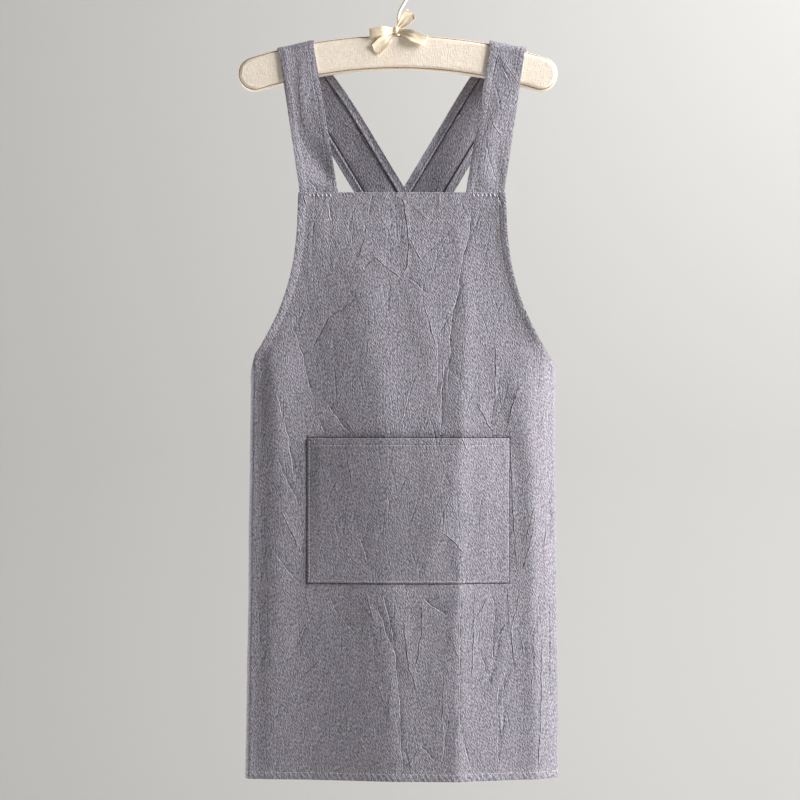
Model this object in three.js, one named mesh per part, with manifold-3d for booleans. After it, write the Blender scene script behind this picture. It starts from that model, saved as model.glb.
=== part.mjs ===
// A cross-back kitchen apron hanging from a padded clothes hanger.
// Millimetres, +Z up. X runs across the apron, and -Y is its front.
// The origin is the point inside the hook's top where a rail carries the hanger.

import * as THREE from "three";
import { mergeVertices } from "three/addons/utils/BufferGeometryUtils.js";
import Module from "manifold-3d";

const { lerp, smoothstep, degToRad } = THREE.MathUtils;
const wasm = await Module();
wasm.setup();

// Cloth
const CLOTH = 1.2; // wall of one layer
const HEM_CLOTH = 2.0; // wall where the edge is turned in and sewn
const HEM_WIDTH = 10;
const HEM_STEP = 1; // run-out from the hem's thickness to one layer
const FACING_DEPTH = 34; // turned-in top of the bib, which takes the strap ends
const GAP = 0.3; // clearance between pieces that touch

// Apron body: heights, then widths measured from its own middle
const APRON_X = 5; // the apron hangs this far to the right of the hanger's middle
const BIB_TOP = -283;
const ARMHOLE_FOOT = -481; // where the armhole edge reaches the side fold
const BACK_TOP = -530; // top edge of the two back panels
const HEM = -1000;
const BIB_HALF = 126;
const SKIRT_HALF_TOP = 184; // outline at the armhole's foot
const SKIRT_HALF_HEM = 191;
const FOLD_RADIUS = 15; // rolled fold at each side, and half the hanging depth
const BACK_WIDTH = 87; // from the side fold to the open back edge
const ARMHOLE_POWER = 2.6; // how late the armhole edge swings out to the side
const CROWN = 22; // forward bow of the front at the hem
const CROWN_PEAK = 45; // how far right of the middle the bow is deepest at the hem

// Ridges of the hanging front. Each row of a path is a height, the ridge's distance to the right of
// the middle, and its depth there. The flanks are the distances over which it falls away.
const FRONT_FOLDS = [
  { path: [[-430, -156, 0], [-510, -155, 3.2], [-625, -149, 3.8], [-1000, -158, 2.0]], left: 20, right: 22 },
  { path: [[-310, -60, 0], [-420, -42, 3.4], [-524, -26, 4.0], [-1000, -9, 3.2]], left: 46, right: 27 },
  { path: [[-300, 62, 0], [-420, 80, 2.6], [-625, 72, 6.0], [-1000, 62, 5.4]], left: 34, right: 17 },
  { path: [[-460, 126, 0], [-524, 142, 2.6], [-625, 158, 3.6], [-1000, 162, 2.6]], left: 18, right: 22 },
];
const BACK_FOLD = { fromEdge: 40, flank: 24, depth: 3.5 };

// Patch pocket
const POCKET_LEFT = -115;
const POCKET_RIGHT = 130;
const POCKET_TOP = -580;
const POCKET_FOOT = -760;
const POCKET_BULGE = 9; // how far the relaxed mouth stands off the front
const POCKET_SEAT = 0.6; // clearance along the sewn sides and foot
const POCKET_CALM = 0.45; // share of each fold that runs on under the pocket

// Shoulder straps: one run up the front, a turn over the hanger, one run down the back
const STRAP_FRONT = { footX: -96.5, topX: -128.5, footY: -12.9, footWidth: 47, topWidth: 43, tilt: 9.5 };
const STRAP_BACK = { topX: -131.8, footX: 139.0, footY: 12.2, topWidth: 50, footWidth: 56, tilt: 31.4 };
const STRAP_FRONT_FOOT = BIB_TOP - FACING_DEPTH + 3;
const STRAP_BACK_FOOT = BACK_TOP - 30;
const STRAP_ARCH = 3.5; // how far the front run's middle stands proud of its edges
const CROSSING_Z = -331;
const CROSSING_REACH = 130; // length over which the straps step apart to cross
const CROSSING_STEP = { strap_left: -2.6, strap_right: 1.0 };
const STRAP_ROWS = { front: 14, quarterTurn: 4, back: 18 };
const STRAP_TURN_TILT = 11.8; // lean of the arm where the strap turns over it
const STRAP_EASE = 0.6; // slack of the strap where it turns over the arm

// Hanger
const ARM_LENGTH = 390;
const ARM_HEIGHT = 41;
const ARM_THICKNESS = 26;
const ARM_EDGE = 10; // rounding of the padding at its edges
const ARM_TOP = -91;
const ARM_CURVE = 590; // radius of the arm's middle line
const WIRE = 4;
const HOOK_RADIUS = 22; // to the wire's middle
const HOOK_STEM = 20;
const RIBBON = 1.0;
const KNOT = { x: -1.5, y: -7.8, z: -85, radius: 5.2 };
// The bow's two loops and two tails: the way each leaves the knot, in the front view, and its size.
const BOW = [
  { angle: 184, length: 29, endWidth: 12, loopDepth: 7, lift: -9 },
  { angle: 47, length: 31, endWidth: 12, loopDepth: 7, lift: -2.5 },
  { angle: 231, length: 32, endWidth: 16, loopDepth: 0, lift: -10 },
  { angle: 342, length: 36, endWidth: 14, loopDepth: 0, lift: -10 },
];
const KNOT_WIDTH = 4.5; // the ribbon is drawn in to this at the knot

// Materials
const linen = new THREE.MeshStandardMaterial({ color: 0x8f8b93, roughness: 0.92, metalness: 0 });
const padCloth = new THREE.MeshStandardMaterial({ color: 0xe9d9c0, roughness: 0.85, metalness: 0 });
const wrappedWire = new THREE.MeshStandardMaterial({ color: 0xf3ead9, roughness: 0.6, metalness: 0 });
const satinRibbon = new THREE.MeshStandardMaterial({ color: 0xf0dfbf, roughness: 0.45, metalness: 0 });

function solidMesh(name, geometry, material) {
  const mesh = new THREE.Mesh(geometry, material);
  mesh.name = name;
  return mesh;
}

// Evenly spaced numbers from a to b, both ends kept.
function spaced(a, b, steps) {
  return Array.from({ length: steps + 1 }, (_, k) => lerp(a, b, k / steps));
}

// A closed sheet with thickness. point gives its middle surface, half its half thickness at a grid
// corner, and holds tells which cells are cloth. Columns run so that column cross row points outwards.
function sheetGeometry({ columns, rows, point, half, holds = () => true }) {
  const line = (i) => Array.from({ length: rows }, (_, j) => point(i, j));
  const middle = Array.from({ length: columns }, (_, i) => line(i));
  const cells = [];
  const normals = middle.map((points) => points.map(() => new THREE.Vector3()));
  const inside = (i, j) => i >= 0 && j >= 0 && i < columns - 1 && j < rows - 1 && holds(i, j);
  for (let i = 0; i < columns - 1; i++) {
    for (let j = 0; j < rows - 1; j++) {
      if (!inside(i, j)) continue;
      cells.push([i, j]);
      const across = middle[i + 1][j + 1].clone().sub(middle[i][j]);
      const along = middle[i][j + 1].clone().sub(middle[i + 1][j]);
      const facing = across.cross(along).normalize();
      for (const [a, b] of [[i, j], [i + 1, j], [i, j + 1], [i + 1, j + 1]]) normals[a][b].add(facing);
    }
  }
  const positions = [];
  const corner = (i, j, side) => middle[i][j].clone().addScaledVector(normals[i][j], side * half(i, j));
  normals.flat().forEach((normal) => normal.normalize());
  const quad = (a, b, c, d) => [a, b, c, a, c, d].forEach((p) => positions.push(p.x, p.y, p.z));
  const rim = (i0, j0, i1, j1) =>
    quad(corner(i0, j0, 1), corner(i0, j0, -1), corner(i1, j1, -1), corner(i1, j1, 1));
  for (const [i, j] of cells) {
    quad(corner(i, j, 1), corner(i + 1, j, 1), corner(i + 1, j + 1, 1), corner(i, j + 1, 1));
    quad(corner(i, j, -1), corner(i, j + 1, -1), corner(i + 1, j + 1, -1), corner(i + 1, j, -1));
    if (!inside(i, j - 1)) rim(i, j, i + 1, j);
    if (!inside(i + 1, j)) rim(i + 1, j, i + 1, j + 1);
    if (!inside(i, j + 1)) rim(i + 1, j + 1, i, j + 1);
    if (!inside(i - 1, j)) rim(i, j + 1, i, j);
  }
  return bareGeometry(positions);
}

function bareGeometry(positions) {
  const loose = new THREE.BufferGeometry();
  loose.setAttribute("position", new THREE.Float32BufferAttribute(positions, 3));
  return mergeVertices(loose, 1e-4);
}

// Half width of the flat front at a height: the bib's, the armhole's or the skirt's.
function frontHalf(z) {
  const skirtHalf = (height) =>
    lerp(SKIRT_HALF_HEM, SKIRT_HALF_TOP, (height - HEM) / (ARMHOLE_FOOT - HEM)) - FOLD_RADIUS;
  if (z <= ARMHOLE_FOOT) return skirtHalf(z);
  const share = (BIB_TOP - z) / (BIB_TOP - ARMHOLE_FOOT);
  return lerp(BIB_HALF, skirtHalf(ARMHOLE_FOOT), share ** ARMHOLE_POWER);
}

function ridge(fold, x, z) {
  const below = fold.path.findIndex(([height]) => height <= z);
  if (below === 0) return 0;
  const [from, to] = fold.path.slice(below - 1, below + 1);
  const share = (from[0] - z) / (from[0] - to[0]);
  const off = x - lerp(from[1], to[1], share);
  return lerp(from[2], to[2], share) * Math.exp(-((off / (off < 0 ? fold.left : fold.right)) ** 2));
}

// Middle surface of the hanging front. It is flat at the top, where the straps pull it straight.
function frontY(x, z) {
  const half = frontHalf(z);
  const out = Math.abs(x) / half;
  const start = BIB_TOP - FACING_DEPTH;
  const share = Math.max(0, (start - z) / (start - HEM));
  const peak = CROWN_PEAK * share;
  const side = (x - peak) / (x < peak ? half + peak : half - peak);
  const crown = CROWN * share ** 0.8 * (1 - side * side) ** 2;
  const calm = insidePocket(x, z) ? POCKET_CALM : 1;
  const folds = FRONT_FOLDS.reduce((sum, fold) => sum + ridge(fold, x, z), 0);
  return -FOLD_RADIUS - crown - folds * calm * (1 - smoothstep(out, 0.86, 1));
}

function insidePocket(x, z) {
  return x > POCKET_LEFT && x < POCKET_RIGHT && z > POCKET_FOOT && z < POCKET_TOP;
}

// Stations across the body, from the left back edge round the front to the right back edge.
function bodyColumns() {
  const hem = [0, HEM_WIDTH, HEM_WIDTH + HEM_STEP];
  const back = [...hem, ...spaced(hem[2], BACK_WIDTH, 4).slice(1)].map((at) => ({ zone: "back", at }));
  const fold = spaced(Math.PI, 0, 5).slice(1, -1).map((angle) => ({ zone: "fold", angle }));
  const edge = hem.slice(0, 2).map((inset) => ({ zone: "front", inset }));
  const left = [...back, ...fold, ...edge].map((column) => ({ ...column, side: -1 }));
  const right = [...left].reverse().map((column) => ({ ...column, side: 1 }));
  const middle = spaced(-1, 1, 28).map((share) => ({ zone: "front", share }));
  return [...left, ...middle, ...right];
}

// Rows up the body. Each gives its height at a column: from the hem, from the cut top, or between.
function bodyRows() {
  const hem = [0, HEM_WIDTH, HEM_WIDTH + HEM_STEP];
  const foot = HEM + hem[2];
  const skirt = [
    ...hem.map((up) => ({ height: () => HEM + up, hem: up <= HEM_WIDTH })),
    ...spaced(0, 1, 14).slice(1, -1).map((share) => ({ height: (top) => lerp(foot, top - hem[2], share) })),
    ...[...hem].reverse().map((down) => ({ height: (top) => top - down, cutTop: down <= HEM_WIDTH })),
  ];
  const facing = BIB_TOP - FACING_DEPTH;
  const bib = [
    ...spaced(ARMHOLE_FOOT, facing - HEM_STEP, 9).slice(1).map((z) => ({ height: () => z, bib: true })),
    ...spaced(facing, BIB_TOP, 2).map((z) => ({ height: () => z, bib: true, hem: true })),
  ];
  return [...skirt, ...bib];
}

// Height of the cut top edge at a column below the bib: it falls round the side to the back panel.
function cutTop(column) {
  if (column.zone === "front") return ARMHOLE_FOOT;
  if (column.zone === "back") return BACK_TOP;
  const share = column.angle / Math.PI;
  return lerp(ARMHOLE_FOOT, BACK_TOP, 1 - (1 - share) ** 1.4);
}

function bodyPoint(column, z) {
  const half = frontHalf(z);
  if (column.zone === "back") {
    const fold = BACK_FOLD.depth * Math.exp(-(((column.at - BACK_FOLD.fromEdge) / BACK_FOLD.flank) ** 2));
    const y = FOLD_RADIUS + fold * smoothstep(BACK_TOP - z, 60, 260);
    return new THREE.Vector3(column.side * (half - BACK_WIDTH + column.at), y, z);
  }
  if (column.zone === "fold") {
    const x = half + FOLD_RADIUS * Math.sin(column.angle);
    return new THREE.Vector3(column.side * x, -FOLD_RADIUS * Math.cos(column.angle), z);
  }
  const inner = half - HEM_WIDTH - HEM_STEP;
  const x = column.share === undefined ? column.side * (half - column.inset) : column.share * inner;
  return new THREE.Vector3(x, frontY(x, z), z);
}

function bodyGeometry() {
  const columns = bodyColumns();
  const rows = bodyRows();
  const isHem = (column, row) =>
    row.hem ||
    (column.zone === "back" && column.at <= HEM_WIDTH) ||
    (row.cutTop && column.zone !== "front") ||
    (row.bib && column.inset !== undefined);
  return sheetGeometry({
    columns: columns.length,
    rows: rows.length,
    point: (i, j) => bodyPoint(columns[i], rows[j].height(cutTop(columns[i]))),
    half: (i, j) => (isHem(columns[i], rows[j]) ? HEM_CLOTH : CLOTH) / 2,
    holds: (i, j) => !rows[j + 1].bib || (columns[i].zone === "front" && columns[i + 1].zone === "front"),
  });
}

// The pocket lies on the front along its sewn sides and foot, and its mouth stands open a little.
function pocketGeometry() {
  const xs = spaced(POCKET_LEFT, POCKET_RIGHT, 30);
  const hem = [POCKET_TOP - HEM_WIDTH - HEM_STEP, POCKET_TOP - HEM_WIDTH, POCKET_TOP];
  const zs = [...spaced(POCKET_FOOT, hem[0], 9), hem[1], hem[2]];
  const bulge = (x, z) => {
    const across = (2 * (x - POCKET_LEFT)) / (POCKET_RIGHT - POCKET_LEFT) - 1;
    const up = (z - POCKET_FOOT) / (POCKET_TOP - POCKET_FOOT);
    return POCKET_BULGE * (1 - across * across) * smoothstep(up, 0, 0.9);
  };
  return sheetGeometry({
    columns: xs.length,
    rows: zs.length,
    point: (i, j) => {
      const seat = frontY(xs[i], zs[j]) - CLOTH / 2 - POCKET_SEAT - HEM_CLOTH / 2;
      return new THREE.Vector3(xs[i], seat - bulge(xs[i], zs[j]), zs[j]);
    },
    half: (i, j) => (zs[j] >= hem[1] ? HEM_CLOTH : CLOTH) / 2,
  });
}

// Stations along the left strap: its middle, its width, its lean in the front view and its arch.
function strapStations(name) {
  const lieOff = ARM_THICKNESS / 2 + STRAP_EASE + HEM_CLOTH / 2;
  const bend = ARM_EDGE + STRAP_EASE + HEM_CLOTH / 2;
  const flat = ARM_THICKNESS / 2 - ARM_EDGE;
  const shoulder = armTopAt(STRAP_FRONT.topX + APRON_X) - ARM_EDGE;
  const crossing = (z) => {
    const near = Math.max(0, 1 - ((z - CROSSING_Z) / CROSSING_REACH) ** 2);
    return CROSSING_STEP[name] * near * near * (3 - 2 * near);
  };
  const front = spaced(0, 1, STRAP_ROWS.front).map((t) => ({
    x: lerp(STRAP_FRONT.footX, STRAP_FRONT.topX, t),
    y: lerp(STRAP_FRONT.footY, -lieOff, smoothstep(t, 0.2, 0.75)),
    z: lerp(STRAP_FRONT_FOOT, shoulder, t),
    width: lerp(STRAP_FRONT.footWidth, STRAP_FRONT.topWidth, t),
    tilt: lerp(STRAP_FRONT.tilt, STRAP_TURN_TILT, smoothstep(t, 0.6, 0.95)),
    arch: STRAP_ARCH * smoothstep(t, 0.2, 0.45) * (1 - smoothstep(t, 0.55, 0.8)),
  }));
  const quarter = spaced(0, Math.PI / 2, STRAP_ROWS.quarterTurn);
  const turnAngles = [...quarter, ...quarter.map((angle) => angle + Math.PI / 2)].slice(1, -1);
  const turn = turnAngles.map((angle, k) => {
    const t = angle / Math.PI;
    return {
      x: lerp(STRAP_FRONT.topX, STRAP_BACK.topX, t),
      y: -bend * Math.cos(angle) + (k < STRAP_ROWS.quarterTurn ? -flat : flat),
      z: shoulder + bend * Math.sin(angle),
      width: lerp(STRAP_FRONT.topWidth, STRAP_BACK.topWidth, t),
      tilt: STRAP_TURN_TILT,
      arch: 0,
    };
  });
  const back = spaced(0, 1, STRAP_ROWS.back).map((t) => {
    const z = lerp(shoulder, STRAP_BACK_FOOT, t);
    return {
      x: lerp(STRAP_BACK.topX, STRAP_BACK.footX, t),
      y: lerp(lieOff, STRAP_BACK.footY, smoothstep(t, 0.1, 0.6)) + crossing(z),
      z,
      width: lerp(STRAP_BACK.topWidth, STRAP_BACK.footWidth, smoothstep(t, 0, 0.2)),
      tilt: lerp(STRAP_TURN_TILT, STRAP_BACK.tilt, smoothstep(t, 0, 0.16)),
      arch: 0,
    };
  });
  return [...front, ...turn, ...back];
}

function strapGeometry(name, side) {
  const stations = strapStations(name);
  const hem = HEM_WIDTH;
  const across = (width) => [
    -width / 2,
    hem - width / 2,
    hem + HEM_STEP - width / 2,
    width / 2 - hem - HEM_STEP,
    width / 2 - hem,
    width / 2,
  ];
  const columns = across(0).length;
  const isHem = (i) => i < 2 || i > columns - 3;
  const along = side > 0 ? (i) => columns - 1 - i : (i) => i;
  return sheetGeometry({
    columns,
    rows: stations.length,
    point: (i, j) => {
      const at = stations[j];
      const off = across(at.width)[along(i)];
      const lean = degToRad(at.tilt);
      const share = (2 * off) / at.width;
      const y = at.y - at.arch * (1 - share * share);
      const x = at.x + off * Math.cos(lean);
      return new THREE.Vector3(side < 0 ? x : -x, y, at.z + off * Math.sin(lean));
    },
    half: (i) => (isHem(i) ? HEM_CLOTH : CLOTH) / 2,
  });
}

// Height of the arm's top line at a distance from its middle.
function armTopAt(x) {
  const outer = ARM_CURVE + ARM_HEIGHT / 2;
  return ARM_TOP - outer + Math.sqrt(outer * outer - x * x);
}

function armMesh() {
  const round = ARM_HEIGHT / 2;
  const centre = ARM_TOP - round - ARM_CURVE;
  const swing = Math.asin((ARM_LENGTH / 2 - round) / ARM_CURVE);
  const up = Math.PI / 2;
  const tip = (angle) => [ARM_CURVE * Math.cos(angle), centre + ARM_CURVE * Math.sin(angle)];
  const outline = new THREE.Shape();
  outline.absarc(0, centre, ARM_CURVE + round, up + swing, up - swing, true);
  outline.absarc(...tip(up - swing), round, up - swing, -up - swing, true);
  outline.absarc(0, centre, ARM_CURVE - round, up - swing, up + swing, false);
  outline.absarc(...tip(up + swing), round, -up + swing, up + swing, true);
  const geometry = new THREE.ExtrudeGeometry(outline, {
    depth: ARM_THICKNESS - 2 * ARM_EDGE,
    curveSegments: 9,
    bevelThickness: ARM_EDGE,
    bevelSize: ARM_EDGE,
    bevelOffset: -ARM_EDGE,
    bevelSegments: 3,
  });
  const mesh = solidMesh("hanger_arm", geometry, padCloth);
  mesh.rotation.x = Math.PI / 2;
  mesh.position.y = ARM_THICKNESS / 2 - ARM_EDGE;
  return mesh;
}

// One bent wire: a stem, a swing to the right, and three quarters of a turn over the rail.
function hookGeometry() {
  const foot = ARM_TOP + GAP;
  const ring = WIRE / 2 - HOOK_RADIUS;
  const stem = [0, HOOK_STEM / 2, HOOK_STEM].map((up) => new THREE.Vector3(0, 0, foot + up));
  const turn = spaced(-50, 205, 14).map((angle) => {
    const a = degToRad(angle);
    return new THREE.Vector3(HOOK_RADIUS * Math.cos(a), 0, ring + HOOK_RADIUS * Math.sin(a));
  });
  const section = new THREE.Shape();
  section.absarc(0, 0, WIRE / 2, 0, 2 * Math.PI, false);
  return new THREE.ExtrudeGeometry(section, {
    steps: 38,
    curveSegments: 4,
    extrudePath: new THREE.CatmullRomCurve3([...stem, ...turn]),
  });
}

// One loop or tail of the bow, as a ribbon that widens from the knot to its end.
function bowRibbon({ angle, length, endWidth, loopDepth, lift }) {
  const a = degToRad(angle);
  const way = new THREE.Vector3(Math.cos(a), 0, Math.sin(a));
  const across = new THREE.Vector3(-way.z, 0, way.x);
  const steps = loopDepth ? 12 : 5;
  const stations = spaced(0, 1, steps).map((t) => {
    const turn = loopDepth ? Math.PI * t : (Math.PI / 2) * t;
    const reach = length * Math.sin(turn);
    const open = loopDepth ? lerp(1.2 * RIBBON, loopDepth / 2, smoothstep(reach, 0, length * 0.6)) : 0;
    const out = smoothstep(reach, 0, length * 0.55);
    return { reach, y: lift * out + open * Math.cos(turn), width: lerp(KNOT_WIDTH, endWidth, out) };
  });
  return sheetGeometry({
    columns: 3,
    rows: stations.length,
    point: (i, j) => {
      const { reach, y, width } = stations[j];
      const at = new THREE.Vector3(KNOT.x, KNOT.y + y, KNOT.z);
      return at.addScaledVector(way, reach).addScaledVector(across, (1 - i) * (width / 2));
    },
    half: () => RIBBON / 2,
  });
}

function asSolid(geometry) {
  const bare = geometry.clone();
  bare.deleteAttribute("normal");
  bare.deleteAttribute("uv");
  const merged = mergeVertices(bare, 1e-4);
  const vertProperties = new Float32Array(merged.attributes.position.array);
  const triVerts = new Uint32Array(merged.index.array);
  return new wasm.Manifold(new wasm.Mesh({ numProp: 3, vertProperties, triVerts }));
}

function bowGeometry() {
  const knot = new THREE.SphereGeometry(KNOT.radius, 10, 7).translate(KNOT.x, KNOT.y, KNOT.z);
  const whole = BOW.reduce((sum, row) => sum.add(asSolid(bowRibbon(row))), asSolid(knot));
  const { vertProperties, triVerts } = whole.getMesh();
  const fused = new THREE.BufferGeometry();
  fused.setAttribute("position", new THREE.BufferAttribute(vertProperties, 3));
  fused.setIndex(new THREE.BufferAttribute(triVerts, 1));
  return fused;
}

const apron = new THREE.Group();
apron.position.x = APRON_X;
apron.add(solidMesh("apron_body", bodyGeometry(), linen));
apron.add(solidMesh("pocket", pocketGeometry(), linen));
apron.add(solidMesh("strap_left", strapGeometry("strap_left", -1), linen));
apron.add(solidMesh("strap_right", strapGeometry("strap_right", 1), linen));

const hanger = new THREE.Group();
hanger.add(armMesh());
hanger.add(solidMesh("hanger_hook", hookGeometry(), wrappedWire));
hanger.add(solidMesh("hanger_bow", bowGeometry(), satinRibbon));

const hangingApron = new THREE.Group();
hangingApron.add(apron, hanger);

export default hangingApron;
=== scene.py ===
"""Cross-back kitchen apron on a padded hanger: cloth, stitching, padding, hook, bow and stage."""

from collections import namedtuple
from contextlib import contextmanager
from math import acos, atan2, cos, hypot, pi, radians, sin

import bpy
import numpy as np
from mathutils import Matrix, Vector


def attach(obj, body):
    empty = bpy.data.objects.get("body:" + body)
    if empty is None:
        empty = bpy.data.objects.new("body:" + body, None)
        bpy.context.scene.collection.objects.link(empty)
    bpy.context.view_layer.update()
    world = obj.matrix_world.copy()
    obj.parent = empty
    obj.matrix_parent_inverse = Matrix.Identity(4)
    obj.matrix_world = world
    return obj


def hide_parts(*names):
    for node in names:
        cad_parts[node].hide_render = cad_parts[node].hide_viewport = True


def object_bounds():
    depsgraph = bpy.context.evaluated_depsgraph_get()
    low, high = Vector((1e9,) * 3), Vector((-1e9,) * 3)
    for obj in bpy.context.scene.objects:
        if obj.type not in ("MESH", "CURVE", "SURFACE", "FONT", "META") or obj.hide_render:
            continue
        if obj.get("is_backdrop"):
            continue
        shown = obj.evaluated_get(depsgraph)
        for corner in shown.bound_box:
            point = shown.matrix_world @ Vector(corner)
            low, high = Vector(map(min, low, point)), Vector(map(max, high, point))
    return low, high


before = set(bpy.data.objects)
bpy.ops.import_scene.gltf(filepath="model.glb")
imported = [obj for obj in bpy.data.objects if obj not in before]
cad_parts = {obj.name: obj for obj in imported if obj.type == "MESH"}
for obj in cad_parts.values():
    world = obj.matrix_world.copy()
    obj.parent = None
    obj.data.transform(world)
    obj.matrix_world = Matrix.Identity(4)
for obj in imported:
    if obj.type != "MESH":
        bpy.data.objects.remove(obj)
CAD_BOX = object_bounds()

bl_info = {
    "name": "Kitchen Apron on a Hanger",
    "version": (1, 0, 0),
    "blender": (4, 5, 0),
    "location": "View3D > Sidebar > Apron",
    "description": "Models a washed linen apron with crossed straps, and the padded hanger that holds it",
    "category": "Object",
}

MM = 0.001
# Distances in mm from here on, where nothing else is said. FAR stands for no edge or crease nearby.
FAR = 99.0
# Grid lines across a turned hem, counted from its edge, its stitching, and where the turned layer ends.
HEM_LINES = (0, 1.0, 2.4, 4.4, 6.4, 7.8, 8.6, 9.4, 10.0, 10.8)
HEM_STITCH = 8.6
HEM_TURN = 9.4
# The stitching that holds the pocket on, and from stitch to stitch in stitch lengths.
EDGE_STITCH = 2.4
STITCH_SPACING = 1.35
# The bib's top stitching and the bar tacks on it, out from the middle: first, limit and step.
TOP_STITCH = 3.6
TACKS = (87, 115, 5.2)
# Half the band along each crease that is cut finer, and how far the soft ridge beside it spreads.
CREASE_BAND = 1.9
RIDGE_SPREAD = 5
# How finely the cloth is gridded between its hems.
BACK_COLUMNS, FOLD_COLUMNS, FRONT_COLUMNS = 10, 12, 92
SKIRT_ROWS, BIB_ROWS, FACING_ROWS = 140, 49, 7
POCKET_COLUMNS, POCKET_ROWS = 86, 58
STRAP_COLUMNS = 9

# Ridges of the hanging front. Each row of a path is a height, the ridge's distance to the right of
# the middle, and its depth there. The flanks are the distances over which it falls away, and a
# power under 2 gives the ridge a sharper line.
Fold = namedtuple("Fold", "path left right power")
FRONT_FOLDS = (
    Fold(((-430, -156, 0), (-510, -155, 4.2), (-625, -149, 4.6), (-1000, -158, 1.8)), 20, 26, 1.7),
    Fold(((-310, -60, 0), (-420, -42, 3.4), (-524, -26, 4.0), (-1000, -9, 3.2)), 46, 27, 1.7),
    Fold(((-300, 62, 0), (-420, 80, 2.6), (-625, 72, 6.4), (-800, 70, 7.0), (-1000, 68, 6.4)), 34, 15, 1.0),
    Fold(((-460, 126, 0), (-524, 142, 2.6), (-625, 158, 3.6), (-1000, 162, 2.6)), 18, 22, 1.6),
    Fold(((-380, 20, 0), (-430, 24, 1.1), (-480, 34, 1.0), (-540, 36, 0)), 17, 14, 1.6),
    Fold(((-290, -102, 0), (-325, -100, 0.9), (-370, -106, 0)), 12, 11, 1.6),
    Fold(((-770, 112, 0), (-830, 122, 1.6), (-900, 120, 1.3), (-1000, 114, 1.1)), 14, 12, 1.4),
    Fold(((-430, -106, 0), (-480, -106, -1.8), (-560, -104, 0)), 22, 22, 2),
)
POCKET_FOLDS = (
    Fold(((-575, 70, 3.4), (-650, 62, 3.6), (-700, 44, 3.4), (-765, 20, 2.2)), 32, 24, 1.4),
    Fold(((-690, 58, 0), (-720, 66, 1.6), (-765, 72, 1.8)), 9, 13, 1.4),
    Fold(((-575, 98, 0.8), (-660, 102, 1.0), (-765, 98, 0.4)), 12, 14, 1.6),
    Fold(((-575, -112, 1.6), (-690, -112, 1.4), (-765, -112, 0.4)), 8, 34, 1.4),
)

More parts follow.
